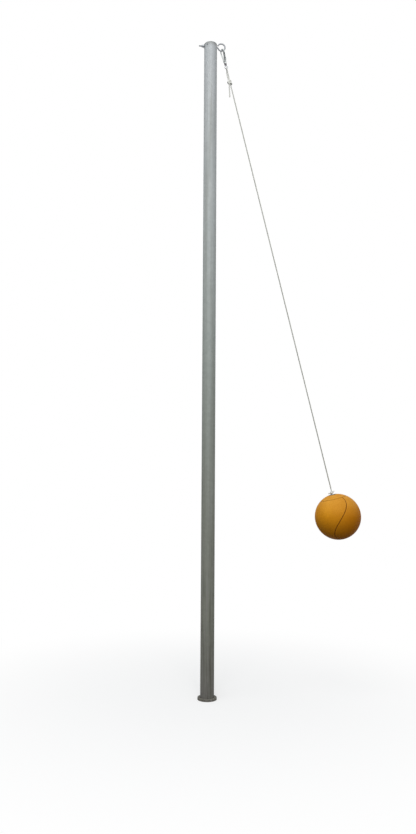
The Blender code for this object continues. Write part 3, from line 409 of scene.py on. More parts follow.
def turned(name, outline, sides, round_off=30.0):
    """A piece turned on the Z axis: a ring is extruded and scaled from point to point (radius, height)."""
    deselect()
    radius, height = outline[0]
    first = max(radius, 1e-4)
    bpy.ops.mesh.primitive_circle_add(vertices=sides, radius=first, location=(0, 0, height))
    piece = bpy.context.object
    piece.name = piece.data.name = name
    bpy.ops.object.transform_apply(location=True, rotation=True, scale=True)
    bpy.ops.object.mode_set(mode="EDIT")
    bpy.ops.mesh.select_all(action="SELECT")
    if radius < 1e-9:
        bpy.ops.mesh.edge_face_add()
    now = first
    for radius, next_height in outline[1:]:
        goal = max(radius, 1e-6)
        bpy.ops.mesh.extrude_edges_move(TRANSFORM_OT_translate={"value": (0, 0, next_height - height)})
        bpy.ops.transform.resize(value=(goal / now, goal / now, 1), center_override=(0, 0, next_height))
        now, height = goal, next_height
    bpy.ops.mesh.select_all(action="SELECT")
    bpy.ops.mesh.remove_doubles(threshold=5e-6)
    bpy.ops.mesh.normals_make_consistent(inside=False)
    bpy.ops.object.mode_set(mode="OBJECT")
    bpy.ops.object.shade_smooth_by_angle(angle=radians(round_off))
    return piece


def arc(centre, radius, start, end, steps):
    """Points of a flat arc, its two ends included."""
    turns = [start + (end - start) * i / steps for i in range(steps + 1)]
    return [(centre[0] + radius * cos(a), centre[1] + radius * sin(a)) for a in turns]


def set_down(piece, place):
    """Puts a piece where it belongs and leaves its object at the origin."""
    pick(piece)
    piece.matrix_world = place @ piece.matrix_world
    bpy.ops.object.transform_apply(location=True, rotation=True, scale=True)
    return piece


def zinc_finish(name, colour_by_height, roughness, spangle_scale, streaks):
    """Galvanised steel: zinc crystals a centimetre across, rain streaks, dull patches and a rough skin."""
    paint, shader, node, connect = new_finish(name, roughness, 0.15)
    shader.inputs["Specular IOR Level"].default_value = 0.30
    place = node("TexCoord").outputs["Object"]
    height = node("SeparateXYZ", {0: place}).outputs[2]
    low, high = colour_by_height[0][0], colour_by_height[-1][0]
    ramp = node("ValToRGB", {0: remap(node, height, low, high)})
    stops = ramp.color_ramp.elements
    while len(stops) < len(colour_by_height):
        stops.new(0.5)
    for stop, (level, colour) in zip(stops, colour_by_height):
        stop.position = (level - low) / (high - low)
        stop.color = (*colour, 1)
    crystal = node("TexVoronoi", {"Vector": place, "Scale": spangle_scale, "Randomness": 1.0})
    tone = node("SeparateColor", {0: crystal.outputs["Color"]}).outputs[0]
    spangle = node("CombineXYZ", {i: remap(node, tone, 0, 1, 0.94, 1.04) for i in range(3)}).outputs[0]
    spangled = blend_colours(node, 1.0, ramp.outputs[0], spangle, "MULTIPLY")
    long_way = node("Mapping", {"Vector": place, "Scale": (85.0, 85.0, 1.6)}).outputs[0]
    streak_share = remap(node, noise(node, long_way, 1.0, 3.0), 0.48, 0.72, 0.0, streaks)
    streaked = blend_colours(node, streak_share, spangled, (0.16, 0.165, 0.13, 1))
    run_off = node("Mapping", {"Vector": place, "Scale": (190.0, 190.0, 5.0)}).outputs[0]
    splash = noise(node, run_off, 1.0, 4.0)
    near_ground = remap(node, height, 1.3, 0.05, 0.0, 0.62)
    soiled = math_node(node, "MULTIPLY", remap(node, splash, 0.50, 0.66), near_ground)
    streaked = blend_colours(node, soiled, streaked, (0.060, 0.055, 0.042, 1))
    limed = math_node(node, "MULTIPLY", remap(node, splash, 0.46, 0.34), near_ground)
    streaked = blend_colours(node, limed, streaked, (0.205, 0.192, 0.190, 1))
    cloud = noise(node, place, 7.5, 5.0)
    dull_share = remap(node, cloud, 0.50, 0.74, 0.0, 0.35)
    dulled = blend_colours(node, dull_share, streaked, (0.56, 0.60, 0.60, 1), "SOFT_LIGHT")
    connect(dulled, shader.inputs["Base Color"])
    connect(remap(node, cloud, 0.3, 0.7, roughness - 0.08, roughness + 0.10), shader.inputs["Roughness"])
    drops = math_node(node, "MULTIPLY", noise(node, place, 60.0, 2.0), 1.5)
    relief = math_node(node, "ADD", noise(node, place, 900.0, 3.0), drops)
    add_bump(node, connect, shader, relief, 0.22, 0.0001)
    return paint


buried_zinc = zinc_finish(
    "buried_zinc",
    [(-0.61, (0.16, 0.14, 0.11)), (-0.02, (0.12, 0.105, 0.085)), (0.012, (0.135, 0.128, 0.112))],
    roughness=0.72, spangle_scale=90.0, streaks=0.5,
)
sleeve = turned(
    "sleeve_pipe",
    [(SLEEVE_BORE, SLEEVE_FOOT), (SLEEVE_R, SLEEVE_FOOT), (SLEEVE_R, MOUTH_Z - 0.0006),
     (SLEEVE_R - 0.0006, MOUTH_Z), (SLEEVE_BORE + 0.00065, MOUTH_Z), (SLEEVE_BORE, MOUTH_Z - 0.0007),
     (SLEEVE_BORE, SLEEVE_FOOT)],
    96,
)
settle(sleeve, buried_zinc, "ground_sleeve", "galvanised", "sleeve_tube")
collar = turned(
    "ground_collar",
    [(COLLAR_BORE, COLLAR_FOOT), (COLLAR_R - 0.0005, COLLAR_FOOT), (COLLAR_R, COLLAR_FOOT + 0.0005),
     *arc((COLLAR_R - COLLAR_ROUND, MOUTH_Z - COLLAR_ROUND), COLLAR_ROUND, 0, pi / 2, 6),
     (COLLAR_BORE + 0.0006, MOUTH_Z), (COLLAR_BORE, MOUTH_Z - 0.0006), (COLLAR_BORE, COLLAR_FOOT)],
    96,
)
settle(collar, buried_zinc, "ground_sleeve", "galvanised", "sleeve_collar")
for node_name in ("sleeve_base_plate", "sleeve_cross_pin"):
    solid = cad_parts[node_name]
    solid.data.materials.clear()
    solid.data.materials.append(buried_zinc)


# Pole. Standard 60.3 mm galvanised pipe with a 2.8 mm wall, drilled near the top for the eye bolt and for
# the cap's screw, and slotted at its foot for the sleeve's bar. Its colour darkens towards its foot, and
# just under the cap it is painted with a band of shade.
POLE_R = 0.03015
POLE_BORE = 0.02735
POLE_TOP = 3.000
POLE_FOOT = -0.5997
POLE_EDGE = 0.0004
SHANK_Z = 2.992
BOLT_HOLE_R = 0.003675
SCREW_HOLE_R = 0.0021
SLOT_SIZE = (0.014, 0.09, 0.060)
SLOT_Z = -0.58
NOTCH_R = 0.0070
NOTCH_Z = -0.550
RIGHT_THROUGH = 0.09


def cut_by(piece, cutters, operation="DIFFERENCE"):
    """Cuts a piece with each cutter in turn, one Boolean each."""
    for cutter in cutters:
        pick(piece)
        cut = piece.modifiers.new("cut", "BOOLEAN")
        cut.operation = operation
        cut.solver = "EXACT"
        cut.object = cutter
        bpy.ops.object.modifier_apply(modifier="cut")
        bpy.data.objects.remove(cutter, do_unlink=True)


def drill(radius, length, place, sides=32):
    """A round cutter on its place's Z axis."""
    deselect()
    bpy.ops.mesh.primitive_cylinder_add(vertices=sides, radius=radius, depth=length)
    return set_down(bpy.context.object, place)


def block(size, height, place):
    """A square cutter at a height on its place's Z axis."""
    deselect()
    bpy.ops.mesh.primitive_cube_add(size=1.0, scale=size, location=(0, 0, height))
    return set_down(bpy.context.object, place)


def smooth_by_angle(piece, degrees):
    """Shades a cut piece smooth, with sharp edges where its faces meet at more than the angle."""
    piece.data.shade_smooth()
    pick(piece)
    bpy.ops.object.shade_smooth_by_angle(angle=radians(degrees))


# The colour darkens towards the pole's foot. The last stop is painted shade: a dark band just under the
# cap's lip.
weathered_zinc = zinc_finish(
    "weathered_zinc",
    [(0.0, (0.128, 0.124, 0.112)), (0.34, (0.185, 0.190, 0.160)), (0.72, (0.210, 0.220, 0.192)),
     (1.46, (0.275, 0.300, 0.283)), (2.2, (0.375, 0.400, 0.400)), (2.985, (0.402, 0.420, 0.434)),
     (2.995, (0.290, 0.300, 0.300))],
    roughness=0.62, spangle_scale=75.0, streaks=0.35,
)
pipe = turned(
    "pole_pipe",
    [(POLE_BORE, POLE_FOOT), (POLE_R - POLE_EDGE, POLE_FOOT), (POLE_R, POLE_FOOT + POLE_EDGE),
     *[(POLE_R, -0.5 + 0.5 * i) for i in range(7)], (POLE_R, POLE_TOP - POLE_EDGE),
     (POLE_R - POLE_EDGE, POLE_TOP), (POLE_BORE, POLE_TOP), (POLE_BORE, POLE_FOOT)],
    96,
)
across_x = Matrix.Rotation(pi / 2, 4, "Y")
along_y = Matrix.Rotation(pi / 2, 4, "X")
screw_turn = radians(-128.0)
screw_out = Matrix.Translation(
    (POLE_R * cos(screw_turn), POLE_R * sin(screw_turn), POLE_TOP - 0.0115)
) @ Matrix.Rotation(screw_turn, 4, "Z") @ across_x


def top_holes():
    """Cutters for the two holes through both pipe and cap: the eye bolt's and the screw's."""
    bolt_hole = drill(BOLT_HOLE_R, RIGHT_THROUGH, Matrix.Translation((0, 0, SHANK_Z)) @ across_x)
    return [bolt_hole, drill(SCREW_HOLE_R, 0.020, screw_out, sides=24)]


foot_slot = block(SLOT_SIZE, SLOT_Z, Matrix.Identity(4))
notch = drill(NOTCH_R, RIGHT_THROUGH, Matrix.Translation((0, 0, NOTCH_Z)) @ along_y)
cut_by(pipe, [*top_holes(), foot_slot, notch])
smooth_by_angle(pipe, 30)
settle(pipe, weathered_zinc, "pole", "galvanised", "pole_tube")


# Cap. A pressed steel cap that closes the pole's top: a low dome with a lip over the pipe's end and a skirt
# inside it, held by one small cross-recess screw through the pipe.
CAP_SKIRT = 0.02705
CAP_SHEET = 0.0012
CAP_FOOT = 2.980
CAP_SEAT = POLE_TOP + CLEARANCE
CAP_BRIM = 3.0019
CAP_EDGE = 0.0007
CAP_RISE = 0.0024
# Painted light and shade: the cap is painted paler on its top and darker at its lip, where it meets the
# pipe.
cap_zinc = zinc_finish(
    "cap_zinc", [(2.97, (0.42, 0.44, 0.45)), (3.0002, (0.36, 0.38, 0.38)), (3.0015, (0.54, 0.57, 0.58))],
    roughness=0.55, spangle_scale=120.0, streaks=0.15,
)
dome_r = (CAP_SKIRT**2 + CAP_RISE**2) / (2 * CAP_RISE)
dome_half = asin(CAP_SKIRT / dome_r)
dome_z = CAP_BRIM + CAP_RISE - dome_r
dome = arc((0, dome_z), dome_r, pi / 2 - dome_half, pi / 2, 10)
under = arc((0, dome_z), dome_r - CAP_SHEET, pi / 2, pi / 2 - dome_half * 0.93, 8)
cap = turned(
    "pole_cap_pressing",
    [(CAP_SKIRT, CAP_FOOT), (CAP_SKIRT, CAP_SEAT), (POLE_R - 0.0003, CAP_SEAT), (POLE_R, CAP_SEAT + 0.0003),
     *arc((POLE_R - CAP_EDGE, CAP_BRIM - CAP_EDGE), CAP_EDGE, 0, pi / 2, 5), *dome, *under,
     (CAP_SKIRT - CAP_SHEET, CAP_FOOT), (CAP_SKIRT, CAP_FOOT)],
    96,
)
cut_by(cap, top_holes())
settle(cap, cap_zinc, "pole", "galvanised", "pole_cap")


def plated_finish(name, colour, stain, roughness, scale, darkened_span=None):
    """Plated metal with dull blooms and fine scratches, painted near black between two distances down the
    tether.
    """
    paint, shader, node, connect = new_finish(name, roughness, 0.9)
    place = node("TexCoord").outputs["Object"]
    bloom = noise(node, place, scale, 5.0, Roughness=0.6)
    tone = blend_colours(node, remap(node, bloom, 0.42, 0.68), (*colour, 1), (*stain, 1))
    if darkened_span:
        start, end = darkened_span
        drop = reach_along(node, place, EYE_CENTRE, down_the_line)
        # A near-black band across the hook, between the two distances.
        in_dark_span = between(node, drop, start - 0.0015, start + 0.0015, end - 0.0015, end + 0.0015)
        tone = blend_colours(node, in_dark_span, tone, (0.090, 0.082, 0.092, 1))
    connect(tone, shader.inputs["Base Color"])
    connect(remap(node, bloom, 0.3, 0.7, roughness - 0.08, roughness + 0.14), shader.inputs["Roughness"])
    add_bump(node, connect, shader, noise(node, place, scale * 12, 3.0), 0.25, 0.0001)
    return paint


SCREW_HEAD = 0.0021
SCREW_RECESS = (0.0030, 0.0006, 0.0012)
plated = plated_finish("plated_hardware", (0.25, 0.263, 0.280), (0.185, 0.193, 0.202), 0.50, 260.0)
screw = turned(
    "cap_holding_screw",
    [(0, -0.009), (0.0010, -0.0072), (0.0018, -0.0050), (0.0018, 0.0003), (0.0029, 0.0003),
     (0.0031, 0.0005), (0.0031, 0.0009), (0.0026, 0.0016), (0.0016, 0.0020), (0.0008, SCREW_HEAD),
     (0, SCREW_HEAD)],
    24,
)
cut_by(screw, [block(SCREW_RECESS, SCREW_HEAD, Matrix.Rotation(turn, 4, "Z")) for turn in (0, pi / 2)])
set_down(screw, screw_out)
settle(screw, plated, "pole", "hardware", "cap_screw")


# Eye bolt. 1/4 in steel wire, its straight end threaded and run through the pole, its other end bent down
# and round into an eye. A washer, a nut and a jam nut hold it on the far side. All of it is zinc plated.
WIRE_D = 0.00635
EYE_R = 0.0175
EYE_LIFT = EYE_CENTRE.z - SHANK_Z
NECK_START = POLE_R - 0.004
THREAD_PITCH = 0.00127
THREAD_LENGTH = 0.034
THREAD_DEPTH = 0.00066
THREAD_RUN_OUT = 0.002
BOLT_CHAMFER = 0.0016
WASHER_BORE = 0.00348
WASHER_R = 0.0090
WASHER_T = 0.0016
NUT_T = 0.0056
JAM_NUT_T = 0.0040
NUT_FLATS = 0.0111
NUT_BORE = 0.003475
NUT_COUNTERSINK = 0.00430
washer_x = -POLE_R - CLEARANCE
nut_x = washer_x - WASHER_T - CLEARANCE
jam_nut_x = nut_x - NUT_T - CLEARANCE
bolt_tip_x = jam_nut_x - JAM_NUT_T - 0.0130


def round_the_eye(start, steps):
    """Points of the eye from a start, in degrees from straight out of the pole, to the wire's end."""
    return arc((EYE_CENTRE.x, EYE_LIFT), EYE_R, radians(start), radians(163), steps)


neck = [(NECK_START, 0.0), (POLE_R + 0.0006, 0.0), (POLE_R + 0.0022, -0.0005), (POLE_R + 0.0042, -0.0026)]
bend = smooth_route([(x, 0, z) for x, z in neck + round_the_eye(-122, 30)[:3]], 0.0012)
eye_arc = [Vector((x, 0, z)) for x, z in round_the_eye(-103, 64)]
shank = even_points([Vector((bolt_tip_x, 0, 0)), Vector((NECK_START, 0, 0))], THREAD_PITCH / 7)
bolt_line = [p + Vector((0, 0, SHANK_Z)) for p in shank[:-1] + bend[:-1] + eye_arc]
bolt_length = sum((b - a).length for a, b in zip(bolt_line, bolt_line[1:]))


def bolt_surface(turn, along):
    """The bolt's radius: a thread that runs out along the shank, and both ends chamfered."""
    end = min(along, (bolt_length - along) * 2)
    taper = min(1.0, 0.72 + 0.28 * end / BOLT_CHAMFER)
    groove = 1 - min(1.0, abs(((along / THREAD_PITCH - turn) % 1.0) * 2 - 1) * 1.25)
    run_out = min(1.0, max(0.0, (THREAD_LENGTH - along) / THREAD_RUN_OUT))
    return (WIRE_D / 2 - THREAD_DEPTH * groove * run_out) * taper


bolt = swept("bent_eye_bolt", bolt_line, 28, bolt_surface)
settle(bolt, plated, "pole", "hardware", "eye_bolt")
toward_tip = Matrix.Rotation(-pi / 2, 4, "Y")
washer = turned(
    "flat_washer",
    [(WASHER_BORE, 0.0), (WASHER_R - 0.0002, 0.0), (WASHER_R, 0.0002), (WASHER_R, WASHER_T - 0.0003),
     (WASHER_R - 0.0003, WASHER_T), (WASHER_BORE, WASHER_T), (WASHER_BORE, 0.0)],
    48,
)
set_down(washer, Matrix.Translation((washer_x, 0, SHANK_Z)) @ toward_tip)
settle(washer, plated, "pole", "hardware", "eye_bolt_washer")


def hexagon_nut(name, height, near_face_x, node_name):
    """A hexagon bar's slice, its corners turned down and its bore countersunk."""
    corner = NUT_FLATS / sqrt(3)
    face_r = NUT_FLATS / 2 - 0.0003
    nut = drill(corner, height, Matrix.Translation((0, 0, height / 2)), sides=6)
    nut.name = nut.data.name = name
    cone = turned(
        "corner_cone",
        [(0, -0.0002), (face_r, -0.0002), (corner * 1.08, corner * 0.12),
         (corner * 1.08, height - corner * 0.12), (face_r, height + 0.0002), (0, height + 0.0002)],
        48,
    )
    cut_by(nut, [cone], "INTERSECT")
    bore = turned(
        "bore",
        [(0, -0.001), (NUT_COUNTERSINK, -0.001), (NUT_COUNTERSINK, 0.0), (NUT_BORE, 0.0007),
         (NUT_BORE, height - 0.0007), (NUT_COUNTERSINK, height), (NUT_COUNTERSINK, height + 0.001),
         (0, height + 0.001)],
        40,
    )
    cut_by(nut, [bore])
    edges = nut.modifiers.new("edges", "BEVEL")
    edges.width = 0.00012
    edges.segments = 2
    edges.limit_method = "ANGLE"
    bpy.ops.object.modifier_apply(modifier="edges")
    bpy.ops.object.shade_smooth_by_angle(angle=radians(30))
    set_down(nut, Matrix.Translation((near_face_x, 0, SHANK_Z)) @ along_y @ toward_tip)
    settle(nut, plated, "pole", "hardware", node_name)


hexagon_nut("full_nut", NUT_T, nut_x, "eye_bolt_nut")
hexagon_nut("jam_nut", JAM_NUT_T, jam_nut_x, "eye_bolt_jam_nut")


# Snap hook. A cast zinc body with a bow that hangs in the eye bolt's eye, a sprung sheet-steel gate on a
# rivet, and a round swivel eye whose stem is riveted over inside the body's foot.
HOOK_TURN = radians(60.0)
hook_frame = tether_frame @ Matrix.Rotation(HOOK_TURN, 4, "Z")


def casting_from(name, node_name, voxel, rounds):
    """The solid's form with a casting's soft edges, worked square to the hook so that they run true."""
    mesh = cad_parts[node_name].data.copy()
    mesh.transform(hook_frame.inverted())
    piece = bpy.data.objects.new(name, mesh)
    mesh.name = name
    bpy.context.scene.collection.objects.link(piece)
    pick(piece)
    bpy.ops.object.mode_set(mode="EDIT")
    bpy.ops.mesh.select_all(action="SELECT")
    bpy.ops.mesh.remove_doubles(threshold=1e-6)
    bpy.ops.object.mode_set(mode="OBJECT")
    skin = piece.modifiers.new("skin", "REMESH")
    skin.mode = "VOXEL"
    skin.voxel_size = voxel
    skin.adaptivity = 0.0
    bpy.ops.object.modifier_apply(modifier="skin")
    tumble = piece.modifiers.new("tumble", "SMOOTH")
    tumble.factor = 0.5
    tumble.iterations = rounds
    bpy.ops.object.modifier_apply(modifier="tumble")
    piece.data.transform(hook_frame)
    piece.data.shade_smooth()
    return piece


cast_metal = plated_finish(
    "cast_hook", (0.47, 0.50, 0.49), (0.40, 0.42, 0.42), 0.52, 190.0, darkened_span=(0.0815, 0.0905)
)
hook = casting_from("snap_hook_casting", "snap_hook_body", voxel=0.00030, rounds=7)
settle(hook, cast_metal, "snap_hook", "casting", "snap_hook_body")
gate = casting_from("sheet_gate", "snap_gate", voxel=0.00018, rounds=5)
sheet_metal = plated_finish("gate_sheet", (0.33, 0.35, 0.35), (0.26, 0.28, 0.28), 0.48, 190.0)
settle(gate, sheet_metal, "gate", "casting", "snap_gate")
rivet = casting_from("gate_pivot_rivet", "gate_rivet", voxel=0.00012, rounds=4)
settle(rivet, plated, "snap_hook", "hardware", "gate_rivet")
leaf = casting_from("gate_leaf_spring", "gate_spring", voxel=0.00010, rounds=2)
spring_steel = plated_finish("spring_steel_strip", (0.33, 0.34, 0.36), (0.20, 0.18, 0.16), 0.28, 300.0)
leaf.data.materials.clear()
leaf.data.materials.append(spring_steel)
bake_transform(leaf)
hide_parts("gate_spring")
eye = casting_from("swivel_eye_forging", "swivel_eye", voxel=0.00020, rounds=8)
bright_metal = plated_finish("bright_swivel", (0.40, 0.41, 0.43), (0.25, 0.26, 0.28), 0.32, 200.0)
settle(eye, bright_metal, "swivel", "casting", "swivel_eye")


# Ball. A round moulded rubber ball 208 mm across, with a fine pebbled skin and sunk seams. The rope's loop
# goes round a steel pin across a moulded cup in its top, and the inflation valve is opposite.
BALL_R = 0.1040
BALL_DROP = 2.2760
ROUND_SEAM = radians(34.2)
SEAM_TURN = radians(99.8)
SEAM_SWAY = radians(34.5)
SEAM_HALF = 0.0021
SEAM_DEPTH = 0.0011
SEAM_SWELL = 0.00010
ROUND_SPOTS = 700
CURVED_SPOTS = 900
COVER_T = 0.0022
CUP_RIM = 0.0185
VALVE_HOLE = 0.0053
ball_frame = tether_frame @ Matrix.Translation((0, 0, BALL_DROP))


def on_ball(polar, turn):
    """A direction from the ball's centre: polar from the cup, which is on local -Z."""
    return (sin(polar) * cos(turn), sin(polar) * sin(turn), -cos(polar))


def seam_lines():
    """Close points along the round seam by the cup, and along the S seam and its twin at the back."""
    spots = [on_ball(ROUND_SEAM, tau * i / ROUND_SPOTS) for i in range(ROUND_SPOTS)]
    for i in range(CURVED_SPOTS):
        polar = ROUND_SEAM + (pi - ROUND_SEAM) * i / (CURVED_SPOTS - 1)
        share = min((polar - pi / 2) / (pi / 2 - ROUND_SEAM), 1)
        turn = SEAM_TURN + SEAM_SWAY * sin(share * pi / 2)
        spots += [on_ball(polar, turn), on_ball(polar, turn + pi)]
    return np.array(spots)


def ball_skin():
    """A sphere, cut finer beside its seams and the cup's rim, its seams sunk and marked to be painted dark,
    darker down the S seam towards the foot.
    """
    spots = seam_lines()
    tree = KDTree(len(spots))
    for i, spot in enumerate(spots):
        tree.insert(spot, i)
    tree.balance()
    deselect()
    bpy.ops.mesh.primitive_ico_sphere_add(subdivisions=6, radius=BALL_R)
    skin = bpy.context.object
    skin.name = skin.data.name = "ball_skin"
    for reach in (0.0070, 0.0045, 0.0034):
        bpy.ops.object.mode_set(mode="EDIT")
        bpy.ops.mesh.select_all(action="DESELECT")
        bpy.ops.object.mode_set(mode="OBJECT")
        for face in skin.data.polygons:
            spot = Vector(face.center).normalized()
            rim = abs(spot.angle(Vector((0, 0, -1))) - asin(CUP_RIM / BALL_R)) * BALL_R
            face.select = min(tree.find(spot)[2] * BALL_R, rim) < reach
        bpy.ops.object.mode_set(mode="EDIT")
        bpy.ops.mesh.select_mode(type="FACE")
        bpy.ops.mesh.subdivide(number_cuts=1)
        bpy.ops.object.mode_set(mode="OBJECT")
    mark = skin.data.attributes.new("seam", "FLOAT", "POINT")
    marks = []
    for vertex in skin.data.vertices:
        spot = vertex.co.normalized()
        _, nearest, distance = tree.find(spot)
        away = distance * BALL_R / SEAM_HALF
        sunk = cos(min(away, 1.0) * pi / 2) ** 1.2
        swell = SEAM_SWELL * max(0.0, 1 - abs(away - 1.35) / 0.5)
        vertex.co = spot * (BALL_R - SEAM_DEPTH * sunk + swell)
        # How dark each seam is painted: least at the round seam, more and more down the S seam.
        onward = (nearest - ROUND_SPOTS) / (4 * CURVED_SPOTS)
        seam_darkness = 0.42 if nearest < ROUND_SPOTS else min(1.0, 0.70 + onward)
        marks.append(sunk * seam_darkness)
    mark.data.foreach_set("value", marks)
    return skin


skin = ball_skin()
mouth_r = CUP_RIM + CLEARANCE
mouth = turned("cup_mouth", [(0, -0.12), (mouth_r, -0.12), (mouth_r, -0.05), (0, -0.05)], 96)
bung = turned("valve_mouth", [(0, 0.05), (VALVE_HOLE, 0.05), (VALVE_HOLE, 0.12), (0, 0.12)], 48)
deselect()
bpy.ops.mesh.primitive_ico_sphere_add(subdivisions=6, radius=BALL_R - COVER_T)
hollow = bpy.context.object
cut_by(skin, [hollow, mouth, bung])
smooth_by_angle(skin, 50)
set_down(skin, ball_frame)


# The way that the ball's painted light comes from: the upper left and the front.
LIGHT_SIDE = (-0.80, -0.12, 0.58)


def pebbled_rubber():
    """Orange-brown rubber with painted light: paler towards its upper left front and its top, darker on the
    far side. Its sunk seams are painted dark, darkest down the lower S seam.
    """
    paint, shader, node, connect = new_finish("pebbled_rubber", 0.62)
    shader.inputs["Specular IOR Level"].default_value = 0.08
    place = node("TexCoord").outputs["Object"]
    pebble = node("TexVoronoi", {"Vector": place, "Scale": 620.0}, feature="SMOOTH_F1").outputs["Distance"]
    cloud = noise(node, place, 16.0, 5.0)
    speck = noise(node, place, 300.0, 3.0)
    seam = node("Attribute", attribute_name="seam").outputs["Fac"]
    middle = ball_frame.translation
    height = reach_along(node, place, middle, (0, 0, 1))
    # Painted light: the rubber is paler towards the upper left front and darker away from it.
    painted_light_share = remap(node, reach_along(node, place, middle, LIGHT_SIDE), -0.055, 0.086)
    base = blend_colours(node, painted_light_share, (0.41, 0.128, 0.001, 1), (0.71, 0.292, 0.010, 1))
    for where, low, high, most, colour in (
        # Painted light: paler towards the top.
        (height, 0.0, 0.095, 0.6, (0.62, 0.345, 0.070, 1)),
        (cloud, 0.36, 0.66, 0.35, (0.45, 0.150, 0.002, 1)),
        (speck, 0.50, 0.75, 0.35, (0.40, 0.155, 0.003, 1)),
        (pebble, 0.35, 0.70, 0.45, (0.36, 0.135, 0.002, 1)),
        # The sunk seams are painted dark, darkest down the lower S seam.
        (seam, 0.04, 0.66, 1.0, (0.085, 0.020, 0.001, 1)),
    ):
        base = blend_colours(node, remap(node, where, low, high, 0.0, most), base, colour)
    connect(base, shader.inputs["Base Color"])
    connect(remap(node, cloud, 0.3, 0.7, 0.56, 0.70), shader.inputs["Roughness"])
    add_bump(node, connect, shader, math_node(node, "SUBTRACT", 1.0, pebble), 0.55, 0.0004)
    return paint


settle(skin, pebbled_rubber(), "ball", "ball_rubber", "ball_cover")


def smooth_rubber(name, colour, worn, roughness):
    """Plain rubber in two tones, with a fine dull grain."""
    paint, shader, node, connect = new_finish(name, roughness)
    place = node("TexCoord").outputs["Object"]
    worn_share = remap(node, noise(node, place, 120.0, 4.0), 0.40, 0.70)
    connect(blend_colours(node, worn_share, (*colour, 1), (*worn, 1)), shader.inputs["Base Color"])
    add_bump(node, connect, shader, noise(node, place, 1500.0, 2.0), 0.3, 0.0002)
    return paint


# Painted shade: the cup's rubber is painted dark brown for the shade of the recess where the rope goes in.
cup_rubber_painted_shade = smooth_rubber("cup_rubber_painted_shade", (0.100, 0.045, 0.012), (0.050, 0.022, 0.008), 0.60)
black_rubber = smooth_rubber("black_rubber", (0.030, 0.030, 0.032), (0.055, 0.053, 0.050), 0.55)
CUP_R = 0.0110
CUP_WALL = 0.0030
CUP_DEPTH = 0.0235
PIN_DEPTH = 0.012
PIN_HALF = 0.01358
rim_z = -sqrt(BALL_R**2 - CUP_RIM**2)
cup_floor = -BALL_R + CUP_DEPTH
cup_out = CUP_R + CUP_WALL
shoulder = rim_z + COVER_T + 0.0010
cup = turned(
    "anchor_cup_moulding",
    [(CUP_RIM - 0.0012, rim_z - 0.0005), (CUP_RIM - 0.0003, rim_z - 0.0003), (CUP_RIM, rim_z),
     (CUP_RIM, shoulder - 0.0006), (cup_out, shoulder + 0.0016), (cup_out, cup_floor + CUP_WALL),
     (0, cup_floor + CUP_WALL), (0, cup_floor), (CUP_R * 0.86, cup_floor), (CUP_R, cup_floor - 0.0015),
     (CUP_R, rim_z + 0.0075), (0.0128, rim_z + 0.0030), (0.0146, rim_z + 0.0004), (0.0152, rim_z - 0.0004),
     (CUP_RIM - 0.0012, rim_z - 0.0005)],
    64, round_off=40.0,
)
set_down(cup, ball_frame)
settle(cup, cup_rubber_painted_shade, "ball", "ball_rubber", "anchor_cup")
pin = turned(
    "rope_anchor_pin",
    [(0, -PIN_HALF), (0.0021, -PIN_HALF), (BALL_BAR_D / 2, -0.0132), (BALL_BAR_D / 2, 0.0132),
     (0.0021, PIN_HALF), (0, PIN_HALF)],
    32,
)
set_down(pin, ball_frame @ Matrix.Translation((0, 0, -BALL_R + PIN_DEPTH)) @ along_y)
settle(pin, plated, "ball", "hardware", "anchor_pin")

AIR_WALL = 0.0012
air_r = BALL_R - COVER_T - CLEARANCE
pocket = CUP_RIM + 0.0010
dent = cup_out + CLEARANCE
dent_floor = cup_floor + CUP_WALL + CLEARANCE
brow = -sqrt(air_r**2 - pocket**2)
to_valve = pi / 2 - asin(VALVE_HOLE / air_r)
outside = arc((0, 0), air_r, asin(pocket / air_r) - pi / 2, to_valve, 32)
inside = arc((0, 0), air_r - AIR_WALL, asin((pocket + AIR_WALL) / air_r) - pi / 2, to_valve, 32)
bladder = turned(
    "air_bladder",
    [*outside, *inside[::-1], (dent + AIR_WALL, brow + 0.006), (dent + AIR_WALL, dent_floor + AIR_WALL),
     (0, dent_floor + AIR_WALL), (0, dent_floor), (dent, dent_floor), (dent, brow + 0.004), outside[0]],
    64, round_off=40.0,
)
set_down(bladder, ball_frame)
settle(bladder, black_rubber, "ball", "black_rubber", "ball_bladder")

VALVE_R = 0.0050
VALVE_FLANGE = 0.0072
VALVE_BORE = 0.0008
valve_face = sqrt(BALL_R**2 - VALVE_R**2)
valve_neck = air_r - AIR_WALL - 0.0012
valve = turned(
    "inflation_valve",
    [(0, valve_face - 0.017), (VALVE_R, valve_face - 0.017), (VALVE_FLANGE, valve_face - 0.015),
     (VALVE_FLANGE, valve_neck - 0.002), (VALVE_R, valve_neck), (VALVE_R, valve_face - 0.0006),
     (VALVE_R - 0.0006, valve_face), (0.0018, valve_face), (VALVE_BORE, valve_face - 0.0012),
     (VALVE_BORE, valve_face - 0.0102), (0, valve_face - 0.0102)],
    40,
)
set_down(valve, ball_frame)
settle(valve, black_rubber, "ball", "black_rubber", "ball_valve")


# Floor and light. A plain pale floor at ground level, open where the sleeve goes down, under two large soft
# lamps in front and above. Away from the pole it fades into the white background.
FLOOR_HOLE = 0.0422


def seen_outright(node):
    """1 for a ray from the camera, from a mirror or through glass, 0 for light that only bounces."""
    ray = node("LightPath").outputs
    seen = math_node(node, "MAXIMUM", ray["Is Camera Ray"], ray["Is Glossy Ray"])
    return math_node(node, "MAXIMUM", seen, ray["Is Transmission Ray"])


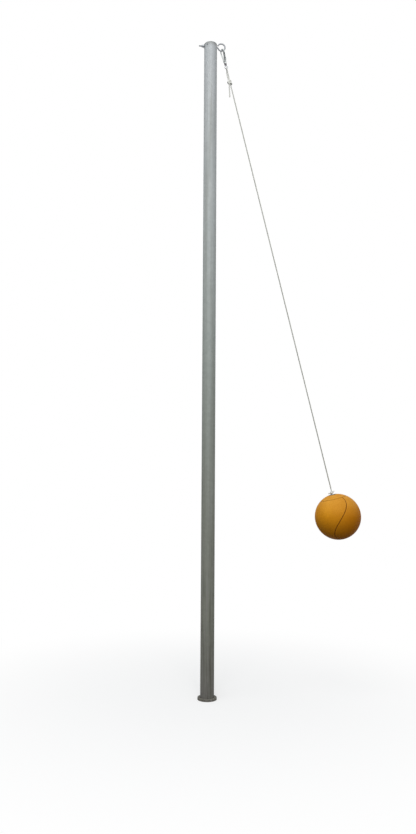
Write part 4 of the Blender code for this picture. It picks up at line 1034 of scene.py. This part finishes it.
def studio_floor():
    """A wide sheet round the sleeve, pale to the eye and darker to the light that bounces off it."""
    deselect()
    bpy.ops.mesh.primitive_circle_add(vertices=128, radius=FLOOR_HOLE)
    floor_sheet = bpy.context.object
    floor_sheet.name = "floor"
    bpy.ops.object.mode_set(mode="EDIT")
    bpy.ops.mesh.select_all(action="SELECT")
    for grow in (12.0, 20.0):
        bpy.ops.mesh.extrude_edges_move(TRANSFORM_OT_translate={"value": (0, 0, 0)})
        bpy.ops.transform.resize(value=(grow, grow, 1), center_override=(0, 0, 0))
    bpy.ops.mesh.select_all(action="SELECT")
    bpy.ops.mesh.normals_make_consistent(inside=False)
    bpy.ops.object.mode_set(mode="OBJECT")
    paint = bpy.data.materials.new("pale_floor")
    paint.use_nodes = True
    paint.node_tree.nodes.clear()
    node, _ = node_maker(paint.node_tree)
    seen = seen_outright(node)
    ground = blend_colours(node, seen, (0.12, 0.12, 0.11, 1), (0.80, 0.80, 0.80, 1))
    from_pole = node("VectorMath", {0: node("TexCoord").outputs["Object"]}, operation="LENGTH")
    ends = {"From Min": 0.15, "From Max": 1.6, "To Min": 0.55, "To Max": 1.0}
    fade = node("MapRange", {"Value": from_pole.outputs["Value"], **ends}, interpolation_type="SMOOTHSTEP")
    glow_share = math_node(node, "MULTIPLY", fade.outputs[0], seen)
    matt = node("BsdfDiffuse", {0: ground}).outputs[0]
    mixed = node("MixShader", {0: glow_share, 1: matt, 2: node("Emission").outputs[0]})
    node("OutputMaterial", {0: mixed.outputs[0]})
    floor_sheet.data.materials.append(paint)


studio_floor()


def softbox(name, place, target, size, power):
    """A round soft lamp that faces its target."""
    lamp = bpy.data.lights.new(name, "AREA")
    lamp.shape = "DISK"
    lamp.size = size
    lamp.energy = power
    holder = bpy.data.objects.new(name, lamp)
    bpy.context.scene.collection.objects.link(holder)
    holder.location = place
    holder.rotation_euler = (Vector(target) - Vector(place)).to_track_quat("-Z", "Y").to_euler()


softbox("front_softbox", (-1.1, -6.6, 5.0), (0.2, 0.0, 1.3), size=5.0, power=300.0)
softbox("top_softbox", (-0.9, -1.8, 7.0), (0.4, 0.0, 1.0), size=4.0, power=160.0)

world = bpy.data.worlds.new("studio")
bpy.context.scene.world = world
world.use_nodes = True
world.node_tree.nodes.clear()
sky_node, _ = node_maker(world.node_tree)
daylight = sky_node("Background", {"Color": (0.95, 0.98, 1.0, 1), "Strength": 0.53}).outputs[0]
white_back = sky_node("Background", {"Color": (1, 1, 1, 1)}).outputs[0]
back = sky_node("MixShader", {0: seen_outright(sky_node), 1: daylight, 2: white_back}).outputs[0]
sky_node("OutputWorld", {0: back})

bpy.context.scene.view_settings.view_transform = "Standard"
